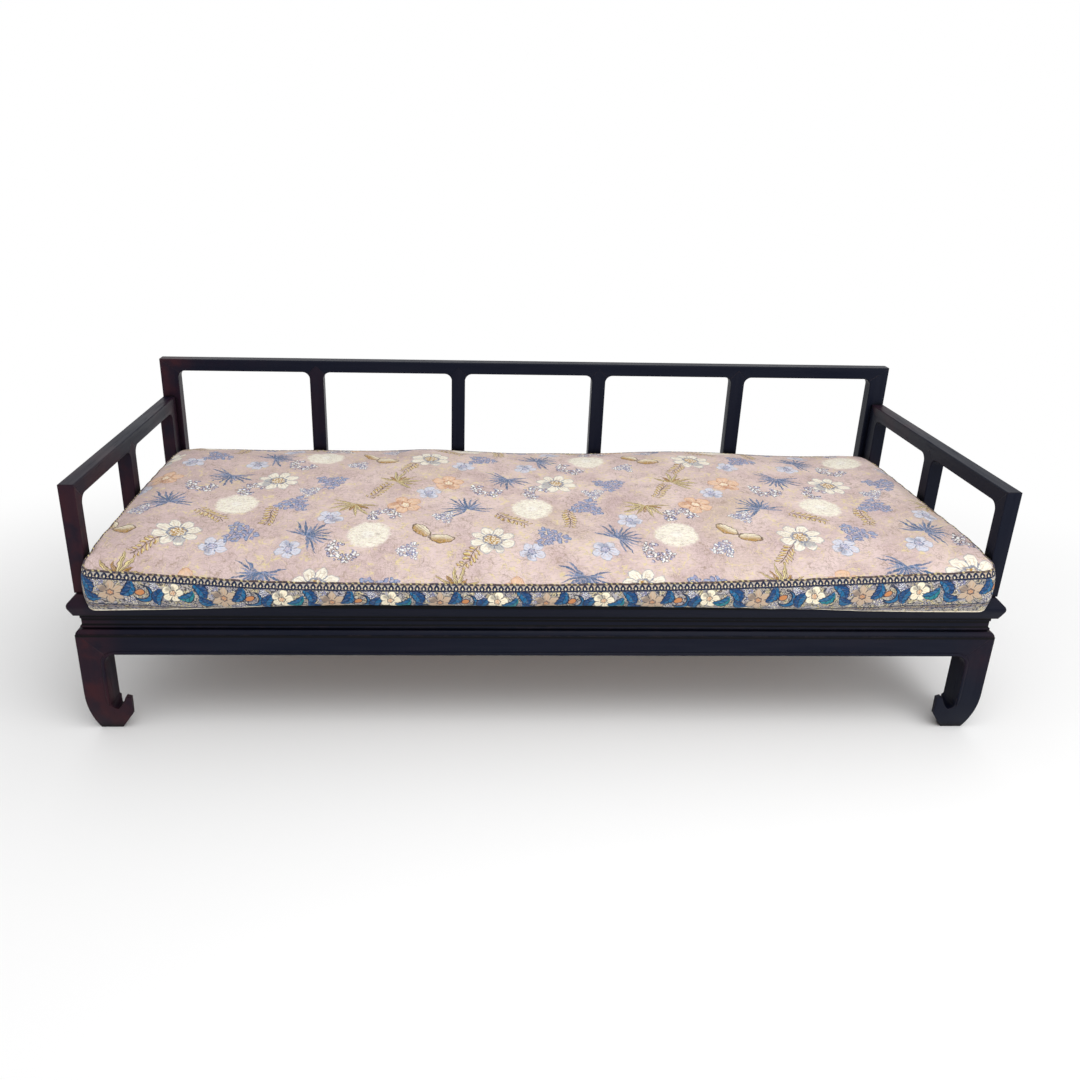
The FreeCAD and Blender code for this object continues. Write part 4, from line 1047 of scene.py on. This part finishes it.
def pod_pair(name):
    """Two broad pods side by side on a short stem."""
    tree, (place, light, dark, accent) = new_motif(name)
    x, y = parts_of(place)
    colour, mask = light, None
    for middle, turn in (((-0.48, 0.10), 0.30), ((0.46, -0.08), -0.42)):
        far, side = oval(x, y, middle, turn, (0.54, 0.31))
        inside = far.eased(1.0, 0.92)
        shade = mixed(side.eased(-0.7, 0.6), light, accent)
        shade = mixed((side * 3.0).math("FRACT").line(0.5, 0.16) * 0.5, shade, dark)
        shade = mixed(far.eased(0.78, 0.90), shade, dark)
        colour = mixed(inside, colour, shade)
        mask = inside if mask is None else mask.math("MAXIMUM", inside)
    return close_motif(tree, colour, mask)


# Pairs of leaves on a sprig from the origin to its end
LEAF_PAIRS = 4.0


def sprig(name):
    """Curved stem with paired leaves that grow smaller towards its end."""
    tree, (place, light, dark, accent) = new_motif(name)
    x, y = parts_of(place)
    bent = x + (y * 2.0).math("SINE") * 0.16
    rise = (y * LEAF_PAIRS).math("FRACT") - 0.5
    slant_x = bent.size() - 0.20
    slant_y = rise * (1 / LEAF_PAIRS) + 0.02
    along = (slant_x * 0.80 + slant_y * 0.60) / 0.24
    across = (slant_x * -0.60 + slant_y * 0.80) / 0.095
    far = (along * along + across * across).math("SQRT") + y.size() * 0.35
    leaf = far.eased(1.05, 0.92) * y.size().eased(0.98, 0.92)
    stem = bent.size().eased(0.035, 0.018) * y.size().eased(1.0, 0.95)
    colour = mixed(across.eased(-0.3, 0.3), light, accent)
    colour = mixed(far.eased(0.66, 0.90), colour, dark)
    colour = mixed(stem, colour, dark)
    return close_motif(tree, colour, leaf.math("MAXIMUM", stem))


def scalloped_leaf(name):
    """Bent leaf with a scalloped edge, a rib and one paler half."""
    tree, (place, light, dark, accent) = new_motif(name)
    x, y = parts_of(place)
    across = y + x * x * 0.45 - 0.14
    scallops = (x * 8.5).math("SINE").size() * 0.13
    reach = (1.0 - x * x).math("MAXIMUM", 0.001).math("POWER", 0.6) * 0.64
    part = across.size() / (reach - scallops * reach + 0.01)
    mask = part.eased(1.04, 0.94) * x.size().eased(1.0, 0.97)
    colour = mixed(across.eased(-0.04, 0.04), light, accent)
    ribs = ((x * 2.0 - across.size() * 1.6).math("FRACT").line(0.5, 0.12)
            .math("MAXIMUM", across.line(0.0, 0.06)))
    colour = mixed(ribs * 0.75, colour, dark)
    colour = mixed(part.eased(0.72, 0.84), colour, dark)
    return close_motif(tree, colour, mask)


def curl(name):
    """Crescent leaf round a small bud."""
    tree, (place, light, dark, accent) = new_motif(name)
    x, y = parts_of(place)
    outer, _ = oval(x, y, (0.0, 0.0), 0.0, (0.86, 0.92))
    inner, _ = oval(x, y, (-0.30, 0.16), 0.3, (0.66, 0.66))
    crescent = outer.eased(1.0, 0.93) * inner.eased(0.95, 1.03)
    bud, side = oval(x, y, (-0.36, 0.14), 0.6, (0.44, 0.30))
    rim = outer.eased(0.80, 0.90).math("MAXIMUM", inner.eased(1.24, 1.10))
    colour = mixed(rim, light, dark)
    berry = mixed(side.eased(-0.5, 0.5), accent, light)
    berry = mixed(bud.eased(0.70, 0.86), accent, dark)
    colour = mixed(bud.eased(1.0, 0.94), colour, berry)
    return close_motif(tree, colour, crescent.math("MAXIMUM", bud.eased(1.0, 0.94)))


def print_motif(ground, place, present, motif, size, inks):
    """Print a motif of a size at a place over the ground, where it is present."""
    tree = ground.tree
    group = tree.nodes.new("ShaderNodeGroup")
    group.node_tree = motif
    near = vector_math(place, "MULTIPLY", (1 / size, 1 / size, 0))
    fill(tree, near, group.inputs[0])
    for socket, ink in zip(group.inputs[1:], inks):
        fill(tree, ink, socket)
    mask = Field(tree, group.outputs[1]) * present
    return mixed(mask, ground, Field(tree, group.outputs[0]))


# Side of a cell with one motif, and share of it by which each row is shifted
PANEL_CELL = 0.143
ROW_SHIFT_SHARE = 0.37
# The chance places and turns of the scattered motifs repeat after so many cells
REPEAT_COLUMNS = 5
REPEAT_ROWS = 3
# Share of a cell by which a motif may wander, and the range of its turns
WANDER_SHARE = 0.26
TURN_RANGE = 6.28


def scatter(place, start, kinds, steps):
    """Place in a field of scattered motifs, each turned its own way, and the motif's kind."""
    tree = place.tree
    u, v = parts_of(vector_math(place, "ADD", start))
    row = (v / PANEL_CELL).math("FLOOR")
    across = u / PANEL_CELL + row * ROW_SHIFT_SHARE
    column = across.math("FLOOR")
    place_in_repeat = (column.math("FLOORED_MODULO", REPEAT_COLUMNS),
                       row.math("FLOORED_MODULO", REPEAT_ROWS))
    key = node(tree, "ShaderNodeCombineXYZ", place_in_repeat)
    chance = tree.nodes.new("ShaderNodeTexWhiteNoise")
    chance.noise_dimensions = "2D"
    fill(tree, key, chance.inputs["Vector"])
    chance_x, chance_y = parts_of(Field(tree, chance.outputs["Color"]))
    wander = PANEL_CELL * WANDER_SHARE
    near = node(tree, "ShaderNodeCombineXYZ",
                ((across - column - 0.5) * PANEL_CELL + (chance_x - 0.5) * wander,
                 (v / PANEL_CELL - row - 0.5) * PANEL_CELL + (chance_y - 0.5) * wander))
    angle = Field(tree, chance.outputs["Value"]) * TURN_RANGE
    turned = node(tree, "ShaderNodeVectorRotate", {"Vector": near, "Angle": angle},
                  rotation_type="Z_AXIS")
    kind = place_in_repeat[0] * steps[0] + place_in_repeat[1] * steps[1]
    return turned, kind.math("FLOORED_MODULO", kinds)


def print_field(ground, place, start, steps, rows, motifs, inks):
    """Print scattered motifs, one kind to a cell, over the ground."""
    near, kind = scatter(place, start, len(rows), steps)
    for number, (motif, size, *colours) in enumerate(rows):
        present = kind.math("COMPARE", number, 0.5)
        ground = print_motif(ground, near, present, motifs[motif], size,
                             [inks[name] for name in colours])
    return ground


# Start of each field of motifs, and steps of the kind along and across the cells
PANEL_START = (0, 0, 0)
PANEL_STEPS = (3, 5)
FILLER_START = (0.048, 0.056, 0)
FILLER_STEPS = (7, 5)
# Motif, radius, light ink, dark ink, accent ink
PANEL_MOTIFS = (
    ("open_flower", 0.055, "ivory", "slate", "gold"),
    ("full_bloom", 0.057, "ivory", "wheat", "white"),
    ("round_flower", 0.043, "apricot", "brick", "cream"),
    ("berry_heap", 0.050, "mist", "slate", "lilac"),
    ("pod_pair", 0.060, "cream", "umber", "gold"),
    ("slim_fan", 0.066, "mist", "slate", "blue"),
    ("broad_fan", 0.064, "gold", "umber", "straw"),
)
FILLERS = (
    ("berry_arc", 0.044, "white", "navy", "lilac"),
    ("round_flower", 0.032, "pearl", "slate", "lilac"),
    ("sprig", 0.046, "straw", "umber", "gold"),
    ("berry_heap", 0.034, "white", "slate", "lilac"),
)
# Length after which the band's motifs repeat
BAND_REPEAT = 0.232
# Motif, distance along, distance down, turn in degrees, radius, light, dark, accent ink
BAND_MOTIFS = (
    ("berry_heap", 0.036, 0.026, 0, 0.0165, "lilac", "navy", "cream"),
    ("berry_heap", 0.100, 0.060, 100, 0.0165, "cream", "navy", "lilac"),
    ("berry_heap", 0.145, 0.025, 60, 0.0165, "lilac", "navy", "white"),
    ("berry_heap", 0.205, 0.062, 30, 0.0165, "straw", "navy", "lilac"),
    ("scalloped_leaf", 0.013, 0.031, 62, 0.0220, "sea", "ink", "deep"),
    ("scalloped_leaf", 0.022, 0.056, 205, 0.0190, "deep", "ink", "sea"),
    ("star_flower", 0.060, 0.043, 0, 0.0305, "sand", "ink", "rust"),
    ("scalloped_leaf", 0.094, 0.033, 115, 0.0215, "deep", "ink", "sea"),
    ("curl", 0.124, 0.044, 10, 0.0245, "sea", "ink", "rust"),
    ("scalloped_leaf", 0.154, 0.047, -70, 0.0225, "sea", "ink", "deep"),
    ("round_flower", 0.185, 0.038, 30, 0.0240, "cream", "ink", "rust"),
    ("scalloped_leaf", 0.215, 0.046, 150, 0.0205, "sea", "ink", "teal"),
)


def make_motifs():
    """Every motif of the print by its name."""
    wide, narrow = math.radians(250), math.radians(210)
    return {
        "open_flower": open_flower("open_flower", petals=8, roundness=2.2, heart_radius=0.38),
        "round_flower": open_flower("round_flower", petals=5, roundness=2.6, heart_radius=0.30),
        "star_flower": open_flower("star_flower", petals=6, roundness=0.8, heart_radius=0.24),
        "full_bloom": full_bloom("full_bloom"),
        "berry_heap": berries("berry_heap", arc=False),
        "berry_arc": berries("berry_arc", arc=True),
        "slim_fan": leaf_fan("slim_fan", leaves=15, spread=wide, slim=0.045),
        "broad_fan": leaf_fan("broad_fan", leaves=9, spread=narrow, slim=0.075),
        "pod_pair": pod_pair("pod_pair"),
        "sprig": sprig("sprig"),
        "scalloped_leaf": scalloped_leaf("scalloped_leaf"),
        "curl": curl("curl"),
    }


# Inks that the settings hold, and the other inks in red, green and blue
SET_INKS = ("sand", "cream", "gold", "rust", "blue", "navy", "lilac")
INKS = {
    "white": (246, 246, 242),
    "straw": (226, 210, 150),
    "wheat": (222, 210, 180),
    "ivory": (241, 236, 220),
    "slate": (84, 104, 138),
    "umber": (96, 74, 58),
    "brick": (170, 104, 66),
    "ink": (26, 36, 62),
    "mist": (146, 162, 196),
    "teal": (30, 128, 140),
    "veins": (172, 150, 136),
    "pearl": (212, 214, 226),
    "apricot": (226, 188, 156),
    "deep": (22, 70, 120),
}


def make_inks(settings):
    """Every ink of the print by its name."""
    inks = {name: tuple(getattr(settings, name)) for name in SET_INKS}
    inks["sea"] = tuple(settings.border_blue)
    for name, colour in INKS.items():
        inks[name] = paint(*colour)
    return inks


# Unsteadiness of a hand-drawn line: scale and reach of each shake
SHAKES = ((110.0, 0.0075), (26.0, 0.017))
# Noises of all cotton: scale, detail, roughness
SLUBS = (420.0, 2.0, 0.6)
CRUMPLE = (24.0, 3.0, 0.55)
STROKE_EDGES = (0.50, 0.66)
THREAD_PITCH = 0.0013
COTTON_RELIEF = 0.0011
# Heights of the threads, slubs and crumples as shares of the relief
THREAD_SHARE = 0.10
SLUB_SHARE = 0.25
CRUMPLE_SHARE = 1.6


def cloth_place(tree, shake_share=1.0):
    """The cloth's own coordinates, and the same a little unsteady as a hand-drawn line."""
    flat = node(tree, "ShaderNodeUVMap", uv_map="cloth")
    drawn = flat
    for scale, reach in SHAKES:
        shake = noise(tree, flat, scale, 2.0, 0.6, output=1)
        offset = vector_math(vector_math(shake, "SUBTRACT", (0.5, 0.5, 0.5)), "MULTIPLY",
                             (reach * shake_share,) * 3)
        drawn = vector_math(drawn, "ADD", offset)
    return flat, drawn


def strokes(tree, flat, scale):
    """Short strokes of a dry brush."""
    stretched = node(tree, "ShaderNodeMapping", {"Vector": flat, "Scale": (*scale, 1)})
    return noise(tree, stretched, 1.0, 2.0, 0.6).eased(*STROKE_EDGES)


def cotton(tree, flat, colour):
    """Matt cotton: weave, slubs and a soft sheen."""
    u, v = parts_of(flat)
    thread = 2 * math.pi / THREAD_PITCH
    threads = (u * thread).math("SINE") * (v * thread).math("SINE")
    slubs = noise(tree, flat, *SLUBS)
    crumple = noise(tree, flat, *CRUMPLE)
    height = threads * THREAD_SHARE + slubs * SLUB_SHARE + crumple * CRUMPLE_SHARE
    finish_surface(tree, colour, 0.84 + 0.1 * slubs, height, COTTON_RELIEF,
                   Specular_IOR_Level=0.25, Sheen_Weight=0.08, Sheen_Roughness=0.5)


# Noises of the panels: scale, detail, roughness
PANEL_MOTTLE = (7.0, 5.0, 0.62)
FADING = (3.1, 2.0, 0.5)
VEIN_WANDER = (9.0, 4.0, 0.55)
VEIN_BREAKS = (15.0, 2.0, 0.5)
SCRIBBLE = (44.0, 3.0, 0.55)
ETCHING = (85.0, 2.0, 0.5)
INKING = (32.0, 2.0, 0.5)
# Places across between which the ground grows darker to the left, and by what share
DARKER_PLACES = (-0.30, -1.0)
DARKER_SHARE = 0.55
# Strokes of tan and of the ground's own rose, in strokes a metre
TAN_STROKES = (70, 300)
ROSE_STROKES = (280, 80)


def panel_cloth(settings, motifs, inks):
    """Dusty rose cotton with tan veins and a repeat of scattered flowers."""
    material, tree = new_material("flowered_panel_cloth")
    flat, drawn = cloth_place(tree)
    mottle = noise(tree, flat, *PANEL_MOTTLE)
    colour = mixed(mottle.eased(0.36, 0.70), settings.ground, settings.shade)
    faded = noise(tree, flat, *FADING)
    colour = mixed(faded.eased(0.52, 0.78) * 0.5, colour, settings.sand)
    u, _ = parts_of(flat)
    colour = mixed(u.eased(*DARKER_PLACES) * DARKER_SHARE, colour, settings.shade)
    wander = noise(tree, drawn, *VEIN_WANDER)
    broken = noise(tree, flat, *VEIN_BREAKS).eased(0.44, 0.58)
    veins = (wander * 11.0).math("FRACT").line(0.5, 0.09) * broken
    pale = (wander * 10.0 + 0.3).math("FRACT").line(0.5, 0.085) * (1.0 - broken)
    colour = mixed(veins * 0.75, colour, inks["veins"])
    colour = mixed(pale * 0.70, colour, inks["straw"])
    scribble = (noise(tree, drawn, *SCRIBBLE) * 8.0).math("FRACT").line(0.5, 0.13)
    colour = mixed(scribble * broken * 0.55, colour, inks["veins"])
    colour = mixed(scribble * (1.0 - broken) * 0.34, colour, inks["straw"])
    colour = print_field(colour, drawn, FILLER_START, FILLER_STEPS, FILLERS, motifs, inks)
    colour = print_field(colour, drawn, PANEL_START, PANEL_STEPS, PANEL_MOTIFS, motifs, inks)
    colour = mixed(strokes(tree, drawn, TAN_STROKES) * 0.46, colour, inks["veins"])
    colour = mixed(strokes(tree, drawn, ROSE_STROKES) * 0.42, colour, settings.ground)
    etching = (noise(tree, drawn, *ETCHING) * 7.0).math("FRACT").line(0.5, 0.16)
    inked = noise(tree, flat, *INKING).eased(0.46, 0.62)
    colour = mixed(etching * inked * 0.30, colour, inks["umber"])
    cotton(tree, flat, colour)
    return material


# Noises of the band: scale, detail, roughness
BAND_MOTTLE = (34.0, 4.0, 0.6)
BAND_TAN = (75.0, 3.0, 0.6)
SCROLLS = (40.0, 3.0, 0.6)
BAND_STROKES = (120, 300)
# The band's print is steadier than the panels': this share of their shakes
BAND_SHAKE_SHARE = 0.4
# Fine lines under the flowers: distance down, width, ink, share of ink
FOOT_LINES = (
    (-0.0760, 0.0022, "ink", 0.85),
    (-0.0805, 0.0016, "umber", 0.85),
    (-0.0845, 0.0016, "navy", 0.8),
)
# The guard stripe fades out between these distances, and has a dark line along both edges
STRIPE_END = (-0.0142, -0.0136)
STRIPE_LINES = ((-0.0009, 0.0022), (-0.0141, 0.0025))
# Pointed arches in the guard stripe, with a pale line between their feet
ARCH_PITCH = 0.0140
ARCH_WIDTH = 0.0137
ARCH_FOOT = -0.0122
ARCH_HEIGHT = 0.0104
ARCH_FOOT_LINE = (-0.0118, 0.0014)


def band_cloth(settings, motifs, inks):
    """Border cloth: a guard stripe with arches, a row of leaves and flowers, and fine lines."""
    material, tree = new_material("border_band_cloth")
    flat, drawn = cloth_place(tree, BAND_SHAKE_SHARE)
    u, v = parts_of(flat)
    mottle = noise(tree, flat, *BAND_MOTTLE)
    colour = mixed(mottle.eased(0.42, 0.62) * 0.40, settings.border, inks["lilac"])
    tan = noise(tree, drawn, *BAND_TAN).eased(0.50, 0.62)
    colour = mixed(tan * 0.65, colour, inks["straw"])
    wander = noise(tree, drawn, *SCROLLS)
    scrolls = (wander * 9.0).math("FRACT").line(0.5, 0.24)
    colour = mixed(scrolls * 0.90, colour, inks["ink"])
    tendrils = (wander * 7.0 + 0.35).math("FRACT").line(0.5, 0.11)
    colour = mixed(tendrils * 0.70, colour, inks["umber"])
    half = (BAND_REPEAT / 2, 1, 1)
    for motif, along, down, turn, size, *colours in BAND_MOTIFS:
        near = vector_math(drawn, "SUBTRACT", (along, -down, 0))
        near = vector_math(near, "WRAP", half, tuple(-part for part in half))
        near = node(tree, "ShaderNodeVectorRotate",
                    {"Vector": near, "Angle": math.radians(turn)}, rotation_type="Z_AXIS")
        colour = print_motif(colour, near, 1.0, motifs[motif], size,
                             [inks[name] for name in colours])
    for depth, width, ink, share in FOOT_LINES:
        colour = mixed(v.line(depth, width) * share, colour, inks[ink])
    stripe = v.eased(*STRIPE_END)
    ground = mixed(mottle.eased(0.40, 0.60), inks["sand"], settings.border)
    colour = mixed(stripe, colour, ground)
    across = ((u / ARCH_PITCH).math("FRACT") - 0.5).size() * (2 * ARCH_PITCH / ARCH_WIDTH)
    lift = (v - ARCH_FOOT) / ARCH_HEIGHT
    arch = across.math("POWER", 1.5) + lift.math("MAXIMUM", 0).math("POWER", 2.0)
    colour = mixed(arch.eased(1.04, 0.94) * stripe, colour, inks["ink"])
    heart = across * 3.1 + (lift - 0.22).size() * 2.5
    colour = mixed(heart.eased(1.0, 0.76) * stripe, colour, inks["wheat"])
    foot = v.line(*ARCH_FOOT_LINE) * (1.0 - across.eased(0.80, 0.65))
    colour = mixed(foot, colour, inks["sand"])
    for depth, width in STRIPE_LINES:
        colour = mixed(v.line(depth, width), colour, inks["ink"])
    colour = mixed(strokes(tree, flat, BAND_STROKES) * 0.18, colour, settings.border)
    cotton(tree, flat, colour)
    return material


# Noises of the welts: scale, detail, roughness
WELT_THREADS = (900.0, 2.0, 0.6)
WELT_STAINS = (14.0, 3.0, 0.6)
WELT_BREAKS = (60.0, 2.0, 0.5)
DASH_PITCH = 0.0125
WELT_RELIEF = 0.0004


def welt_cloth(name, colour, shade, flecks):
    """Cloth wrapped on the bias round a cord, with flecks of the print."""
    material, tree = new_material(name)
    where = tree.nodes.new("ShaderNodeTexCoord")
    place = Field(tree, where.outputs["Object"])
    threads = noise(tree, place, *WELT_THREADS)
    stains = noise(tree, place, *WELT_STAINS)
    tone = mixed(stains.eased(0.4, 0.7) * 0.5 + threads * 0.3, colour, shade)
    x, y = parts_of(place)
    dashes = ((x + y) * (2 * math.pi / DASH_PITCH)).math("SINE")
    broken = noise(tree, place, *WELT_BREAKS).eased(0.40, 0.60)
    tone = mixed(dashes.eased(0.1, 0.6) * broken * 0.7, tone, flecks)
    finish_surface(tree, tone, 0.82 + 0.1 * threads, threads, WELT_RELIEF,
                   Specular_IOR_Level=0.25, Sheen_Weight=0.1)
    return material


class DAYBED_OT_cushion(bpy.types.Operator):
    """Cut, sew and fill the box cushion, with a welt in both seams"""
    bl_idname = "daybed.cushion"
    bl_label = "Make the Cushion"

    def execute(self, context):
        settings = context.scene.daybed_cushion
        cloth = context.scene.daybed_cloth
        pattern = Pattern(settings)
        cushion = cut_cushion(pattern)
        lay_cloth(cushion, pattern)
        uneven = sew(cushion, pattern)
        stuff(cushion, settings)
        for index, height in uneven.items():
            cushion.data.vertices[index].co.z += height
        choose(cushion)
        bpy.ops.object.modifier_add(type="SUBSURF")
        rounding = cushion.modifiers[-1]
        rounding.levels = rounding.render_levels = 1
        bpy.ops.object.modifier_apply(modifier=rounding.name)
        keep_clear(cushion)
        bpy.ops.object.shade_smooth()
        motifs, inks = make_motifs(), make_inks(cloth)
        cushion.data.materials.append(panel_cloth(cloth, motifs, inks))
        cushion.data.materials.append(band_cloth(cloth, motifs, inks))
        settle(cushion, "cushion", None)
        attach(cushion, "cushion")
        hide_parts("cushion_cover", "cushion_core")
        brown = welt_cloth("brown_welt", tuple(cloth.top_welt), inks["navy"], inks["straw"])
        pale = welt_cloth("cream_welt", tuple(cloth.low_welt), inks["wheat"], inks["sand"])
        make_welt(cushion, "upper_seam", settings.top_welt, "upper_welt", brown)
        make_welt(cushion, "lower_seam", settings.low_welt, "lower_welt", pale)
        return {"FINISHED"}


# Pitch, yaw and roll of the camera in degrees, and the shift of its picture
CAMERA_TURN = (20.24, 2.07, 1.23)
CAMERA_SHIFT = (0.04139, -0.06481)
SENSOR_WIDTH = 36
VIEW_LIMIT = 100
# The floor keeps its shadow on an oval round the daybed and fades to white over this range
FLOOR_SIZE = 60
SHADOW_RADII = (1.45, 0.95, 1)
SHADOW_FADE = (0.85, 1.75)
# Lamps: place, target, width and height
KEY_LAMP = ((0.7, -1.6, 3.2), (0, 0, 0.3), (3.2, 2.2))
FILL_LAMP = ((1.6, -3.0, 1.4), (0, 0, 0.4), (2.4, 1.6))


def eye_rays(tree):
    """1 for what the eye sees, directly, in a reflection or through glass, 0 for light."""
    seen = tree.nodes.new("ShaderNodeLightPath")
    rays = Field(tree, seen.outputs["Is Camera Ray"]) + Field(tree, seen.outputs["Is Glossy Ray"])
    return (rays + Field(tree, seen.outputs["Is Transmission Ray"])).math("MINIMUM", 1)


def floor_material(settings):
    """Pale floor that keeps the shadow and fades to white away from the daybed."""
    material, tree = new_material("studio_floor")
    where = tree.nodes.new("ShaderNodeTexCoord")
    place = Field(tree, where.outputs["Object"])
    far = vector_math(vector_math(place, "DIVIDE", SHADOW_RADII), "LENGTH")
    far = Field(tree, far.socket.node.outputs["Value"])
    fade = far.eased(*SHADOW_FADE) * eye_rays(tree)
    shader = tree.nodes["Principled BSDF"]
    fill(tree, tuple(settings.floor), shader.inputs["Base Color"])
    shader.inputs["Roughness"].default_value = 0.9
    shader.inputs["Specular IOR Level"].default_value = 0.1
    glow = node(tree, "ShaderNodeEmission", {"Color": (1, 1, 1), "Strength": 1.0})
    blend = tree.nodes.new("ShaderNodeMixShader")
    fill(tree, fade, blend.inputs[0])
    tree.links.new(shader.outputs[0], blend.inputs[1])
    fill(tree, glow, blend.inputs[2])
    tree.links.new(blend.outputs[0], tree.nodes["Material Output"].inputs[0])
    return material


def studio_air(scene, ambient):
    """White to the eye and in reflections, softer as light."""
    world = bpy.data.worlds.new("studio_air")
    world.use_nodes = True
    scene.world = world
    tree = world.node_tree
    back = tree.nodes["Background"]
    back.inputs["Color"].default_value = (1, 1, 1, 1)
    fill(tree, eye_rays(tree) * (1 - ambient) + ambient, back.inputs["Strength"])


def add_lamp(name, place, target, size, power):
    """Broad lamp that faces its target."""
    deselect_all()
    bpy.ops.object.light_add(type="AREA", location=place)
    lamp = bpy.context.object
    lamp.name = name
    lamp.data.shape = "RECTANGLE"
    lamp.data.size, lamp.data.size_y = size
    lamp.data.energy = power
    lamp.rotation_euler = (Vector(target) - lamp.location).to_track_quat("-Z", "Y").to_euler()


def add_camera(scene, settings):
    """Camera at its place, turned by its pitch, yaw and roll."""
    deselect_all()
    bpy.ops.object.camera_add()
    camera = bpy.context.object
    pitch, yaw, roll = (math.radians(angle) for angle in CAMERA_TURN)
    ahead = Vector((math.sin(yaw) * math.cos(pitch), math.cos(yaw) * math.cos(pitch),
                    -math.sin(pitch)))
    right = Vector((math.cos(yaw), -math.sin(yaw), 0))
    up = right.cross(ahead)
    across = right * math.cos(roll) + up * math.sin(roll)
    upward = up * math.cos(roll) - right * math.sin(roll)
    turn = Matrix((across, upward, -ahead)).transposed().to_4x4()
    camera.matrix_world = Matrix.Translation(Vector(settings.place)) @ turn
    camera.data.lens = settings.lens
    camera.data.sensor_width = SENSOR_WIDTH
    camera.data.shift_x, camera.data.shift_y = CAMERA_SHIFT
    camera.data.clip_end = VIEW_LIMIT
    scene.camera = camera


class DAYBED_OT_stage(bpy.types.Operator):
    """Set up the floor, the lamps and the camera"""
    bl_idname = "daybed.stage"
    bl_label = "Set the Stage"

    def execute(self, context):
        scene = context.scene
        settings = scene.daybed_stage
        deselect_all()
        bpy.ops.mesh.primitive_plane_add(size=FLOOR_SIZE)
        floor = bpy.context.object
        floor.name = "floor"
        floor.data.materials.append(floor_material(settings))
        studio_air(scene, settings.ambient)
        add_lamp("key_lamp", *KEY_LAMP, settings.key)
        add_lamp("fill_lamp", *FILL_LAMP, settings.fill)
        add_camera(scene, settings)
        scene.view_settings.view_transform = "Standard"
        return {"FINISHED"}


OPERATORS = (DAYBED_OT_wood, DAYBED_OT_beads, DAYBED_OT_cushion, DAYBED_OT_stage)
SETTINGS = {"daybed_wood": DaybedWood, "daybed_bead": DaybedBead,
            "daybed_cushion": DaybedCushion, "daybed_cloth": DaybedCloth,
            "daybed_stage": DaybedStage}


class DAYBED_PT_panel(bpy.types.Panel):
    """Steps that dress the daybed"""
    bl_label = "Luohan Daybed"
    bl_idname = "DAYBED_PT_panel"
    bl_space_type = "VIEW_3D"
    bl_region_type = "UI"
    bl_category = "Daybed"

    def draw(self, context):
        for operator in OPERATORS:
            self.layout.operator(operator.bl_idname)


def register():
    for kind in (*SETTINGS.values(), *OPERATORS, DAYBED_PT_panel):
        bpy.utils.register_class(kind)
    for name, kind in SETTINGS.items():
        setattr(bpy.types.Scene, name, bpy.props.PointerProperty(type=kind))


def unregister():
    for name in SETTINGS:
        delattr(bpy.types.Scene, name)
    for kind in reversed((*SETTINGS.values(), *OPERATORS, DAYBED_PT_panel)):
        bpy.utils.unregister_class(kind)


def main():
    register()
    bpy.ops.daybed.wood()
    bpy.ops.daybed.beads()
    bpy.ops.daybed.cushion()
    bpy.ops.daybed.stage()


if __name__ == "__main__":
    main()
